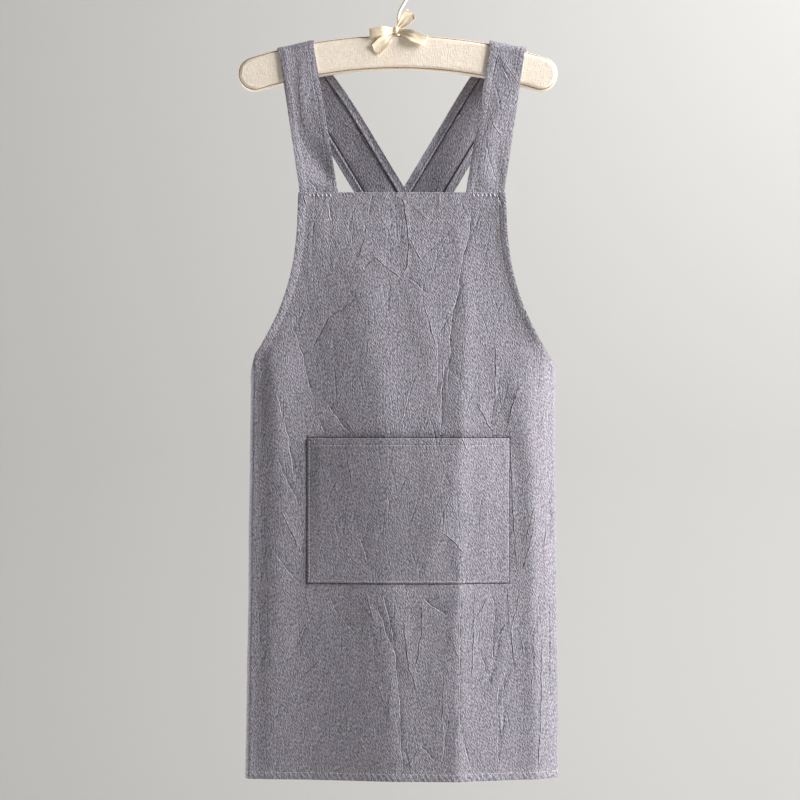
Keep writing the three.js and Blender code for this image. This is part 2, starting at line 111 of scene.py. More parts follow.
# Sharp creases set in by washing and packing, as lines of places in the front view. The sewn ones run
# straight, beside a seam that draws the cloth down. Those behind are on the straps' back runs.
Crease = namedtuple("Crease", "line depth sewn behind", defaults=(False, False))
CREASES = (
    Crease(((-2, -285), (5, -313), (8, -351), (5, -375), (-3, -391)), 0.8),
    Crease(((5, -384), (29, -405)), 0.6),
    Crease(((-34, -363), (-3, -389)), 0.9),
    Crease(((-46, -376), (-34, -363)), 0.5),
    Crease(((8, -339), (24, -370)), 0.6),
    Crease(((19, -370), (63, -326)), 0.35),
    Crease(((-28, -311), (-9, -348)), 0.6),
    Crease(((-37, -285), (-40, -313)), 0.5),
    Crease(((-43, -326), (-54, -363)), 0.5),
    Crease(((79, -292), (84, -317), (82, -339), (73, -370), (68, -408), (61, -436), (57, -502),
            (54, -536)), 0.7),
    Crease(((43, -285), (44, -301)), 0.6),
    Crease(((56, -331), (58, -344), (44, -360)), 0.35),
    Crease(((11, -300), (31, -317)), 0.5),
    Crease(((-109, -475), (-90, -437), (-56, -414)), 0.6),
    Crease(((-114, -482), (-91, -459)), 0.4),
    Crease(((-137, -439), (-125, -467), (-114, -511), (-108, -536)), 0.6),
    Crease(((113, -470), (113, -536)), 0.6),
    Crease(((44, -467), (43, -536)), 0.4),
    Crease(((143, -519), (137, -535)), 0.5),
    Crease(((-100, -561), (-94, -578)), 0.5),
    Crease(((-71, -561), (-56, -578)), 0.6),
    Crease(((-152, -605), (-141, -632), (-125, -664)), 0.8),
    Crease(((-149, -669), (-137, -693), (-127, -718)), 0.8),
    Crease(((-157, -720), (-144, -737), (-118, -769)), 0.6),
    Crease(((131, -561), (134, -676), (141, -753)), 0.7),
    Crease(((159, -616), (148, -639)), 0.5),
    Crease(((162, -670), (157, -704), (146, -743)), 0.5),
    Crease(((72, -763), (71, -842), (71, -928), (86, -992)), 0.9),
    Crease(((87, -764), (86, -801), (84, -884)), 0.5),
    Crease(((108, -764), (113, -789), (111, -830), (111, -864), (105, -882), (93, -904)), 0.9),
    Crease(((126, -781), (132, -820), (137, -869)), 0.9),
    Crease(((167, -764), (167, -798), (158, -825), (162, -860), (160, -889)), 0.7),
    Crease(((170, -818), (169, -894), (165, -992)), 0.7),
    Crease(((118, -879), (116, -928), (118, -982)), 0.9),
    Crease(((125, -806), (114, -830)), 0.6),
    Crease(((127, -862), (122, -894), (126, -943)), 0.5),
    Crease(((1, -801), (7, -860), (18, -891)), 0.9),
    Crease(((-23, -767), (-11, -823), (-6, -860), (-2, -904), (-1, -953), (1, -977)), 0.9),
    Crease(((23, -953), (5, -980)), 0.7),
    Crease(((23, -953), (42, -975)), 0.6),
    Crease(((50, -862), (48, -913), (46, -948)), 0.5),
    Crease(((26, -776), (34, -784), (54, -796)), 0.8),
    Crease(((56, -818), (68, -850)), 0.5),
    Crease(((-72, -801), (-55, -823)), 0.6),
    Crease(((-45, -771), (-36, -803)), 0.5),
    Crease(((-36, -818), (-33, -850)), 0.4),
    Crease(((-31, -879), (-22, -904)), 0.5),
    Crease(((-116, -811), (-131, -840)), 0.6),
    Crease(((-119, -771), (-113, -791)), 0.5),
    Crease(((-146, -906), (-156, -926)), 0.4),
    Crease(((24, -778), (23, -818), (15, -862)), 0.7),
    Crease(((56, -922), (50, -968)), 0.6),
    Crease(((105, -774), (89, -800)), 0.6),
    Crease(((117, -828), (112, -860), (107, -888)), 0.5),
    Crease(((142, -818), (148, -847)), 0.6),
    Crease(((181, -782), (180, -855), (181, -905)), 0.5),
    Crease(((-99, -852), (-126, -877)), 0.4),
    Crease(((-87, -779), (-77, -798)), 0.5),
    Crease(((-52, -947), (-45, -963)), 0.5),
    Crease(((-90, -292), (-85, -320)), 0.5),
    Crease(((26, -420), (34, -448), (41, -473)), 0.5),
    Crease(((95, -837), (104, -871)), 0.6),
    Crease(((113, -834), (109, -868), (103, -889)), 0.8),
    Crease(((121, -818), (107, -874)), 0.8),
    Crease(((127, -766), (131, -803)), 0.6),
    Crease(((140, -848), (122, -890)), 0.5),
    Crease(((156, -822), (160, -859), (157, -886)), 0.7),
    Crease(((179, -769), (181, -827), (183, -890)), 0.5),
    Crease(((143, -769), (131, -818)), 0.5),
    Crease(((125, -910), (119, -968)), 0.5),
    Crease(((161, -664), (150, -706)), 0.6),
    Crease(((178, -613), (182, -675), (181, -721)), 0.5),
    Crease(((174, -689), (172, -735)), 0.5),
    Crease(((-93, -538), (-80, -556), (-64, -576)), 0.7),
    Crease(((0, -566), (8, -534), (17, -502)), 0.6),
    Crease(((52, -487), (49, -530), (47, -575)), 0.7),
    Crease(((88, -536), (100, -558), (110, -576)), 0.8),
    Crease(((113, -531), (108, -571)), 0.6),
    Crease(((138, -524), (126, -576)), 0.9),
    Crease(((-32, -782), (-20, -812), (-13, -838)), 0.6),
    Crease(((-12, -862), (-20, -935)), 0.4),
    Crease(((-153, -526), (-137, -585), (-131, -634)), 0.6),
    Crease(((-59, -768), (-45, -790), (-32, -808)), 0.4),
    Crease(((119, -280), (118, -289), (121, -300)), 0.9),
    Crease(((-119, -280), (-121, -289), (-118, -300)), 0.9),
    Crease(((-115.7, -581), (-115.7, -760)), 1.7, True),
    Crease(((131, -582), (-116, -582)), 1.5, True),
    Crease(((-115, -759.2), (130, -759.2)), 1.4, True),
    Crease(((130.7, -760), (130.7, -581)), 0.8, True),
    Crease(((-123, -285.8), (123, -285.8)), 0.3, True),
)
POCKET_CREASES = (
    Crease(((47, -697), (62, -708), (72, -722)), 0.9),
    Crease(((51, -626), (58, -639)), 0.5),
    Crease(((-70, -593), (-66, -615), (-61, -639)), 0.7),
    Crease(((-16, -654), (-16, -671)), 0.5),
    Crease(((-81, -637), (-88, -654)), 0.5),
    Crease(((-51, -703), (-42, -732)), 0.5),
    Crease(((72, -582), (78, -600)), 0.5),
)
STRAP_CREASES = (
    Crease(((-126, -127), (-126, -170), (-121, -203)), 0.5),
    Crease(((-73, -196), (-51, -213)), 0.7, behind=True),
    Crease(((-61, -218), (-50, -240)), 0.4, behind=True),
    Crease(((-114, -267), (-103, -281)), 0.6),
    Crease(((115, -115), (132, -137), (144, -154)), 0.4),
    Crease(((122, -130), (132, -149)), 0.35),
    Crease(((108, -198), (122, -218)), 0.45),
    Crease(((47, -216), (83, -176)), 0.5, behind=True),
    Crease(((83, -166), (97, -184)), 0.5, behind=True),
)

# Soft folds along the front of each strap.
STRAP_FOLDS = {
    "strap_left": (
        Fold(((-150, -128, 0), (-181, -127, -2.2), (-218, -119, -4.2), (-255, -96, -8.2), (-284, -82, -4.4)),
             23, 27, 1.35),
        Fold(((-105, -141, 0), (-120, -141, 1.0), (-145, -139, 1.2), (-175, -134, 0.8), (-210, -130, 0)),
             5, 8, 1.6),
        Fold(((-110, -124, 0), (-130, -124, 1.0), (-160, -123, 1.1), (-200, -120, 0.9), (-235, -112, 0)),
             4, 9, 1.5)),
    "strap_right": (
        Fold(((-150, 128, 0), (-181, 118, 3.0), (-218, 103, 4.2), (-255, 96, 3.0), (-278, 95, 0)),
             16, 25, 1.4),
        Fold(((-225, 117, 0), (-255, 118, -2.6), (-283, 118, -1.4)), 9, 7, 1.4),
        Fold(((-130, 150, 0), (-155, 146, -1.8), (-215, 136, -2.4), (-255, 130, -2.0), (-284, 127, -0.8)),
             17, 14, 1.5),
        Fold(((-100, 118, 0), (-125, 124, 0.8), (-150, 132, 0.6), (-165, 134, 0)), 5, 8, 1.6)),
}

# The left strap's runs before and behind the hanger: rows, its middle at foot and top, its depth at the
# foot, its width at foot and top, and its lean in degrees at the foot. A turn over the arm joins them.
StrapRun = namedtuple("StrapRun", "rows foot_x top_x foot_y foot_width top_width lean")
STRAP_FRONT = StrapRun(84, -96.5, -128.5, -12.9, 47, 43, 9.5)
STRAP_BACK = StrapRun(170, 139, -131.8, 12.2, 56, 50, 31.4)
STRAP_TURN_ROWS = 16
STRAP_TURN_LEAN = 11.8
STRAP_BACK_START = STRAP_FRONT.rows + STRAP_TURN_ROWS
# Slack of the straps round the arm, and the height of their crossing and how far up and down it acts.
STRAP_EASE = 0.6
CROSSING, CROSSING_REACH = -331, 130


def linear(code):
    """Linear RGBA of an sRGB hex colour."""
    channels = [int(code[k:k + 2], 16) / 255 for k in (0, 2, 4)]
    return tuple(c / 12.92 if c <= 0.04045 else ((c + 0.055) / 1.055) ** 2.4 for c in channels) + (1.0,)


def length(name, description, millimetres):
    """A length property with its default given in millimetres."""
    return bpy.props.FloatProperty(
        name=name, description=description, default=millimetres * MM, unit="LENGTH", precision=4)


def colour(name, description, code):
    """A colour property with its default given as an sRGB hex value."""
    return bpy.props.FloatVectorProperty(
        name=name, description=description, default=linear(code), size=4, min=0, max=1, subtype="COLOR")


class ApronSizes(bpy.types.PropertyGroup):
    """Sizes of the apron, heights counted from the point where the hook hangs."""
    off_centre: length("Off centre", "How far right of the hook the apron's middle hangs", 5)
    bib_top: length("Bib top", "Height of the bib's top edge", -283)
    armhole_foot: length("Armhole foot", "Height where the armhole edge reaches the side fold", -481)
    back_top: length("Back top", "Height of the back panels' top edge", -530)
    hem: length("Hem", "Height of the bottom edge", -998)
    bib_half: length("Bib half width", "Half the bib's width at its top", 126)
    skirt_half_top: length("Skirt half width, top", "Half the outline's width at the armhole's foot", 184)
    skirt_half_hem: length("Skirt half width, hem", "Half the outline's width at the hem", 191)
    fold_radius: length("Side fold radius", "Radius of the rolled fold at each side", 15)
    fold_reach: length("Side fold reach", "How far each side fold stands out beyond the flat front", 5)
    right_turn: length("Right turn", "How far the front turns back before the right side fold", 8.5)
    right_reach: length("Right reach", "How much further the right side fold stands out at its top", 2.6)
    curl: length("Armhole curl", "How far the armhole hems curl forward", 1.6)
    back_width: length("Back panel width", "From the side fold to the open back edge", 87)
    crown: length("Crown", "Forward bow of the front at the hem", 24)
    crown_peak: length("Crown peak", "How far right of the middle the bow is deepest at the hem", 45)
    cloth: length("Cloth thickness", "Thickness of one layer", 1.2)
    pocket_cloth: length("Pocket thickness", "Thickness of the pocket's layer, pressed flat", 0.8)
    turned_hem: length("Hem thickness", "Thickness where the edge is turned in", 2.0)
    facing: length("Facing depth", "Depth of the turned-in top of the bib", 34)
    pocket_left: length("Pocket left", "Left edge of the pocket, from the apron's middle", -115)
    pocket_right: length("Pocket right", "Right edge of the pocket, from the apron's middle", 130)
    pocket_top: length("Pocket top", "Height of the pocket's mouth", -583)
    pocket_foot: length("Pocket foot", "Height of the pocket's foot", -758.4)
    pocket_bulge: length("Pocket bulge", "How far the mouth stands off the front", 9)
    stitch: length("Stitch length", "Length of one stitch", 3.0)
    thread: length("Thread", "Thickness of the sewing thread", 0.7)


class HangerSizes(bpy.types.PropertyGroup):
    """Sizes of the padded hanger."""
    arm_length: length("Arm length", "Length of the arm from tip to tip", 390)
    arm_height: length("Arm height", "Height of the arm's front", 41)
    arm_thickness: length("Arm thickness", "Thickness of the arm from front to back", 26)
    arm_top: length("Arm top", "Height of the arm's top at its middle", -91)
    arm_curve: length("Arm curve", "Radius of the arm's middle line", 590)
    arm_edge: length("Arm edge", "Rounding of the arm's edges", 5.5)
    seam_cord: length("Seam cord", "Thickness of the cord sewn along the seams", 1.3)
    wire: length("Wire", "Thickness of the wrapped hook", 4)
    hook_radius: length("Hook radius", "Radius of the hook's turn, to the wire's middle", 22)
    hook_stem: length("Hook stem", "Straight foot of the hook", 20)
    hook_bend: length("Hook bend", "Radius of the swing out of the stem", 28)
    ribbon: length("Ribbon thickness", "Thickness of the bow's ribbon", 0.7)


class ApronColours(bpy.types.PropertyGroup):
    """Colours of the cloth, thread and hanger."""
    cloth_light: colour("Cloth, light yarn", "Lighter yarns of the washed cloth", "A19BA5")
    cloth_dark: colour("Cloth, dark yarn", "Darker yarns of the washed cloth", "89838C")
    cloth_tint: colour("Cloth, cool tint", "Cast of the cooler patches left by the wash", "FBFFFE")
    thread: colour("Thread", "Sewing thread", "C6C2CA")
    pad: colour("Hanger cover", "Cream cotton over the padding", "FFF3E5")
    cord: colour("Seam cord", "Cord sewn along the cover's seams", "C29A5C")
    tape: colour("Hook tape", "Tape wrapped round the wire", "F6F0E4")
    ribbon: colour("Ribbon", "Satin ribbon of the bow", "FFF3DE")
    stage: colour("Stage", "Pale floor and backdrop", "DBDAD7")


def sizes(group="apron_sizes"):
    """A group's sizes in millimetres, by name."""
    group = getattr(bpy.context.scene, group)
    return {name: getattr(group, name) / MM for name in group.__annotations__}


def smoothstep(a, b, x):
    t = np.clip((x - a) / (b - a), 0, 1)
    return t * t * (3 - 2 * t)


def lerp(a, b, t):
    return a + (b - a) * t


def bell(x, width):
    """A soft bump of height 1 at 0."""
    return np.exp(-(x / width) ** 2)


def gradient_noise(x, y, seed):
    """Smooth seeded noise in about -1 to 1, with bumps about one unit apart."""
    random = np.random.default_rng(seed)
    order = random.permutation(256)
    turns = random.uniform(0, 2 * pi, 256)
    x0, y0 = np.floor(x).astype(int), np.floor(y).astype(int)
    fx, fy = x - x0, y - y0

    def corner(dx, dy):
        turn = turns[order[(order[(x0 + dx) % 256] + y0 + dy) % 256]]
        return np.cos(turn) * (fx - dx) + np.sin(turn) * (fy - dy)

    ex, ey = (f ** 3 * (f * (f * 6 - 15) + 10) for f in (fx, fy))
    low = lerp(corner(0, 0), corner(1, 0), ex)
    high = lerp(corner(0, 1), corner(1, 1), ex)
    return 1.4 * lerp(low, high, ey)


def crinkle(u, v, seed):
    """Height in mm of the crinkles in washed cloth, u across and v along it in mm."""
    # The lines wander before they are drawn: broad swells, upright and slanting creases, a fine grain.
    wander_u = 14 * gradient_noise(u / 55, v / 80, seed)
    wander_v = 18 * gradient_noise(u / 60, v / 70, seed + 1)
    u, v = u + wander_u, v + wander_v
    broad = gradient_noise(u / 42, v / 90, seed + 2)
    crease = np.abs(gradient_noise(u / 26, v / 62, seed + 3))
    slant = np.abs(gradient_noise((u + 0.6 * v) / 30, (v - 0.5 * u) / 70, seed + 4))
    fine = gradient_noise(u / 9, v / 21, seed + 5)
    sharp = bell(crease, 0.16) + 0.7 * bell(slant, 0.13)
    return 0.5 * broad - 0.28 * sharp + 0.14 * fine


def line_offset(line, x, z):
    """Distance in mm to a line of places, positive on the right of the way down it, and the share of
    the line that lies behind the nearest place."""
    near, share, behind = np.full_like(x, 1e6), np.zeros_like(x), 0.0
    whole = sum(hypot(x1 - x0, z1 - z0) for (x0, z0), (x1, z1) in zip(line, line[1:]))
    for (x0, z0), (x1, z1) in zip(line, line[1:]):
        run = hypot(x1 - x0, z1 - z0)
        way_x, way_z = (x1 - x0) / run, (z1 - z0) / run
        t = np.clip((x - x0) * way_x + (z - z0) * way_z, 0, run)
        off = np.hypot(x - x0 - way_x * t, z - z0 - way_z * t)
        off = np.where((z - z0) * way_x < (x - x0) * way_z, -off, off)
        closer = np.abs(off) < np.abs(near)
        near, share = np.where(closer, off, near), np.where(closer, (behind + t) / whole, share)
        behind += run
    return near, share


def crease_field(creases, x, z):
    """Distance in mm to the nearest charted crease, signed by its side, the crease's depth there, and
    the height of the soft ridges and valleys that the creases run along."""
    off, depth, bent = np.full_like(x, FAR), np.zeros_like(x), np.zeros_like(x)
    # Free creases stray from their lines, come and go along them, and turn up and down by turns.
    stray_x = 1.5 * gradient_noise(x / 9, z / 14, 3) + 0.35 * gradient_noise(x / 3.7, z / 3.7, 8)
    stray_z = 1.5 * gradient_noise(x / 12, z / 9, 4) + 0.35 * gradient_noise(x / 3.7, z / 3.7, 9)
    broken = np.clip(0.95 + 0.7 * gradient_noise(x / 8, z / 10, 6), 0.4, 1.4)
    for number, crease in enumerate(creases):
        free = 0 if crease.sewn else 1
        way = -1 if free and number % 2 else 1
        near, share = line_offset(crease.line, x + free * stray_x, z + free * stray_z)
        ends = smoothstep(0, 0.15, share) * smoothstep(1, 0.85, share) if free else 1
        deep = crease.depth * ends * (broken if free else 1)
        closer = np.abs(near) < np.abs(off)
        off, depth = np.where(closer, way * near, off), np.where(closer, deep, depth)
        bent += free * way * crease.depth * ends * np.exp(-np.abs(near) / RIDGE_SPREAD)
    return off, depth * (1 - smoothstep(2.6, 4.5, np.abs(off))), bent


def press_creases(piece, creases, middle):
    """Cuts a cloth piece finer along charted creases, presses a groove and a low ridge for each into
    the sides that face forward, and notes them for the finish."""
    mesh = piece.data

    def read(items, name):
        values = np.zeros(len(items) * 3)
        items.foreach_get(name, values)
        return values.reshape(-1, 3)

    def pressed(places, normals):
        field = np.full(len(places), FAR), np.zeros(len(places)), np.zeros(len(places))
        for behind in (False, True):
            charted = [crease for crease in creases if crease.behind == behind]
            here = (normals[:, 1] < -0.4) & ((places[:, 1] > 0) == behind)
            if charted:
                x, z = places[here, 0] / MM - middle, places[here, 2] / MM
                for values, new in zip(field, crease_field(charted, x, z)):
                    values[here] = new
        return field

    off = pressed(read(mesh.polygons, "center"), read(mesh.polygons, "normal"))[0]
    select_only(piece)
    with edit_mode():
        bpy.ops.mesh.select_mode(type="FACE")
        bpy.ops.mesh.select_all(action="DESELECT")
    mesh.polygons.foreach_set("select", np.abs(off) < CREASE_BAND)
    with edit_mode():
        bpy.ops.mesh.subdivide(number_cuts=2, quadcorner="INNERVERT")
    places, normals = read(mesh.vertices, "co"), read(mesh.vertices, "normal")
    off, depth, bent = pressed(places, normals)
    relief = depth * (0.3 * bell(off - 1.8, 1.2) - 0.42 * bell(off, 1.0)) + 0.95 * bent
    mesh.vertices.foreach_set("co", (places + normals * relief[:, None] * MM).ravel())
    for name, values in (("crease_off", off), ("crease_depth", depth)):
        mesh.attributes.new(name, "FLOAT", "POINT").data.foreach_set("value", values)
    mesh.update()


def hem_relief(inset):
    """Height in mm across a turned hem seen on its right side: a soft roll and a sewn groove."""
    roll = 0.45 * (1 - smoothstep(HEM_STITCH, HEM_LINES[-1] + 1, inset))
    edge = -0.35 * bell(inset, 1.1)
    return roll + edge - 0.45 * bell(inset - HEM_STITCH, 1.0)


def front_half(s, z):
    """Half width of the flat front at heights z: the bib's, the armhole's or the skirt's."""
    skirt = lerp(s["skirt_half_hem"], s["skirt_half_top"], (z - s["hem"]) / (s["armhole_foot"] - s["hem"]))
    share = np.clip((s["bib_top"] - z) / (s["bib_top"] - s["armhole_foot"]), 0, 1)
    foot = s["skirt_half_top"] - s["fold_reach"]
    return np.where(z <= s["armhole_foot"], skirt - s["fold_reach"],
                    lerp(s["bib_half"], foot, share ** 2.6))


def in_pocket(s, x, z, margin):
    """How far under the pocket a place on the front is, from 0 outside to 1 past the margin."""
    across = np.minimum(x - s["pocket_left"], s["pocket_right"] - x)
    up = np.minimum(z - s["pocket_foot"], s["pocket_top"] - z)
    return smoothstep(-margin, margin, np.minimum(across, up))


def fold_height(folds, x, z):
    """Height in mm of a set of folds at places on the front."""
    total = np.zeros_like(x)
    for fold in folds:
        heights, places, depths = (np.array(column) for column in zip(*fold.path))
        off = x - np.interp(-z, -heights, places)
        # A soft top of 2 mm keeps the ridge line from breaking up.
        reach = np.sqrt(off ** 2 + 4) / np.where(off < 0, fold.left, fold.right)
        total += np.interp(-z, -heights, depths) * np.exp(-reach ** fold.power)
    return total


def right_turn(s, z):
    """How far the front's right edge turns back at heights z."""
    return s["right_turn"] * smoothstep(s["armhole_foot"] + 30, s["armhole_foot"] - 30, z)


def edge_turn(inside):
    """Share of the right side's turn, slow at first and quicker in the last few millimetres."""
    return np.clip(inside / 27 + 1, 0, 1) ** 1.4 + 0.3 * np.clip(inside / 9 + 1, 0, 1) ** 2


def front_y(s, x, z):
    """Middle surface of the hanging front with its crown, main folds and turned right side."""
    half = front_half(s, z)
    out = np.abs(x) / half
    start = s["bib_top"] - s["facing"]
    share = np.clip((start - z) / (start - s["hem"]), 0, 1)
    peak = s["crown_peak"] * share
    side = (x - peak) / np.where(x < peak, half + peak, half - peak)
    crown = s["crown"] * share ** 0.8 * (1 - side * side) ** 2
    calm = lerp(1, 0.45, in_pocket(s, x, z, 14))
    turned = right_turn(s, z) * edge_turn(x - half)
    folds = fold_height(FRONT_FOLDS, x, z) * calm * (1 - smoothstep(0.88, 1, out))
    return turned - s["fold_radius"] - crown - folds


def surface_normals(points):
    """Unit normals of a grid of points, column direction cross row direction."""
    normals = np.cross(np.gradient(points, axis=0), np.gradient(points, axis=1))
    return normals / np.linalg.norm(normals, axis=2, keepdims=True)


def select_only(piece):
    bpy.ops.object.select_all(action="DESELECT")
    piece.select_set(True)
    bpy.context.view_layer.objects.active = piece


@contextmanager
def edit_mode():
    """Edit mode for the active object, left again at the end."""
    bpy.ops.object.mode_set(mode="EDIT")
    yield
    bpy.ops.object.mode_set(mode="OBJECT")


def close_up(piece, merge=0):
    """Merges places that meet, if told how near, turns the faces outwards and smooths the shading."""
    select_only(piece)
    with edit_mode():
        bpy.ops.mesh.select_all(action="SELECT")
        if merge:
            bpy.ops.mesh.remove_doubles(threshold=merge * MM)
        bpy.ops.mesh.normals_make_consistent(inside=False)
    bpy.ops.object.shade_smooth()


def apply_modifier(piece, kind, **settings):
    """Adds a modifier to a piece, sets it and applies it."""
    select_only(piece)
    modifier = piece.modifiers.new(kind.title(), kind)
    for name, value in settings.items():
        setattr(modifier, name, value)
    bpy.ops.object.modifier_apply(modifier=modifier.name)


def mesh_piece(name, points, faces, material):
    """A new object at the origin from places in mm."""
    mesh = bpy.data.meshes.new(name)
    mesh.from_pydata(np.asarray(points) * MM, [], faces)
    piece = bpy.data.objects.new(name, mesh)
    bpy.context.scene.collection.objects.link(piece)
    mesh.materials.append(material)
    return piece


def cloth_piece(name, points, flat, holds, hem, thickness, material, roped=None):
    """A sewn cloth piece. points is the grid of its right side in mm, flat the same places on the
    uncut cloth in mm, holds the cells that are cloth, hem how far each place is turned in, and
    roped the share of the hem's ripples, where it differs. thickness is the cloth's and the hem's."""
    columns, rows = points.shape[:2]
    used = np.zeros((columns, rows), bool)
    for di, dj in ((0, 0), (1, 0), (0, 1), (1, 1)):
        used[di:columns - 1 + di, dj:rows - 1 + dj] |= holds
    number = np.cumsum(used.ravel()).reshape(columns, rows) - 1
    i, j = np.nonzero(holds)
    faces = np.stack([number[i, j], number[i + 1, j], number[i + 1, j + 1], number[i, j + 1]], 1)
    piece = mesh_piece(name, points[used], faces.tolist(), material)
    mesh = piece.data
    corner = np.zeros(len(mesh.loops), int)
    mesh.loops.foreach_get("vertex_index", corner)
    places = mesh.uv_layers.new(name="flat")
    places.data.foreach_set("uv", (flat[used][corner] * MM).ravel())
    hem_ripple_and_highlight = mesh.attributes.new("hem_ripple_and_highlight", "FLOAT", "POINT")
    hem_ripple_and_highlight.data.foreach_set("value", (hem if roped is None else roped)[used].astype(float))
    group = piece.vertex_groups.new(name="turned")
    for level in np.unique(hem[used]):
        group.add(np.nonzero(hem[used] == level)[0].tolist(), float(level), "REPLACE")
    apply_modifier(piece, "SOLIDIFY", thickness=thickness[1] * MM, offset=-1, vertex_group="turned",
                   thickness_vertex_group=thickness[0] / thickness[1])
    select_only(piece)
    bpy.ops.object.shade_smooth_by_angle(angle=radians(55))
    return piece


def stitches(lines, s):
    """Corners and faces of rows of stitches. Each line is its places and the way out of the cloth."""
    points, faces = [], []
    thick, long = s["thread"] / 2, s["stitch"]
    # Along a stitch: the place, how fat the thread is there, and its lift out of the cloth.
    rings = ((-0.5, 0.25, -0.7), (-0.3, 0.9, 0.2), (0.3, 0.9, 0.2), (0.5, 0.25, -0.7))
    for places, outward in lines:
        run = np.concatenate([[0], np.cumsum(np.linalg.norm(np.diff(places, axis=0), axis=1))])
        for at in np.arange(long, run[-1] - long / 2, long * STITCH_SPACING):
            def along(values, d):
                return np.array([np.interp(d, run, values[:, k]) for k in range(3)])
            way = along(places, at + long / 2) - along(places, at - long / 2)
            way /= np.linalg.norm(way)
            out = along(outward, at)
            side = np.cross(way, out)
            base = len(points)
            for shift, fat, lift in rings:
                middle = along(places, at) + way * shift * long + out * thick * lift
                points += [middle + thick * fat * (side * cos(a) + out * sin(a))
                           for a in (0, pi / 2, pi, 3 * pi / 2)]
            for ring in range(3):
                for k in range(4):
                    low, next_low = base + ring * 4 + k, base + ring * 4 + (k + 1) % 4
                    faces.append((low, low + 4, next_low + 4, next_low))
            faces += [(base, base + 1, base + 2, base + 3), (base + 15, base + 14, base + 13, base + 12)]
    return points, faces


def stitch_piece(name, lines, s, tacks=()):
    """Rows of stitches as one piece. Tacks are single long stitches, sewn over and over."""
    points, faces = stitches(lines, s)
    thick_points, thick_faces = stitches(tacks, {**s, "thread": 2.2 * s["thread"], "stitch": 4.4})
    faces += [tuple(len(points) + k for k in face) for face in thick_faces]
    points += thick_points
    piece = mesh_piece(name, points, faces, material_named("thread"))
    close_up(piece)
    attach(piece, "root")
    return piece


# Materials


def add(tree, kind, settings=None, **inputs):
    """Adds a node, sets its settings, and links or sets its inputs by name."""
    node = tree.nodes.new("ShaderNode" + kind)
    for name, value in (settings or {}).items():
        setattr(node, name, value)
    for name, value in inputs.items():
        wanted = [k for k in node.inputs if k.identifier.replace(" ", "_") == name and k.enabled]
        socket = wanted[0] if wanted else node.inputs[name.replace("_", " ")]
        if isinstance(value, bpy.types.NodeSocket):
            tree.links.new(value, socket)
        else:
            socket.default_value = value
    return node


def new_material(name):
    material = bpy.data.materials.new(name)
    material.use_nodes = True
    material.node_tree.nodes.clear()
    return material, material.node_tree


def calculate(tree, operation, *values):
    """A calculation on up to three values."""
    sockets = dict(zip(("Value", "Value_001", "Value_002"), values))
    return add(tree, "Math", {"operation": operation}, **sockets).outputs[0]


def noise(tree, place, detail, scale=1.0, **more):
    return add(tree, "TexNoise", Vector=place, Scale=scale, Detail=detail, **more).outputs["Fac"]


def remap(tree, value, before=(0, 1), after=(0, 1), smooth=False):
    """A value carried from one range into another."""
    return add(tree, "MapRange", {"interpolation_type": "SMOOTHSTEP" if smooth else "LINEAR"}, Value=value,
               From_Min=before[0], From_Max=before[1], To_Min=after[0], To_Max=after[1]).outputs[0]


def mix(tree, share, first, second, blend="MIX"):
    """A mix of two colours."""
    return add(tree, "Mix", {"data_type": "RGBA", "blend_type": blend}, Factor_Float=share,
               A_Color=first, B_Color=second).outputs[2]


def bump(tree, height, distance, strength=1.0, **below):
    """The normal over a height that counts in steps of a distance in metres."""
    return add(tree, "Bump", Strength=strength, Distance=distance, Height=height, **below).outputs[0]


def scaled_place(tree, place, scale):
    return add(tree, "Mapping", Vector=place, Scale=scale).outputs[0]


def turned_place(tree, place, degrees, across, along):
    """A place turned on the flat cloth and counted in steps across and along, in metres."""
    return add(tree, "Mapping", {"vector_type": "TEXTURE"}, Vector=place, Rotation=(0, 0, radians(degrees)),
               Scale=(across, along, 1)).outputs[0]


def shaded(material, **inputs):
    """Ends a material with its shader."""
    shader = add(material.node_tree, "BsdfPrincipled", **inputs)
    add(material.node_tree, "OutputMaterial", Surface=shader.outputs[0])
    return material


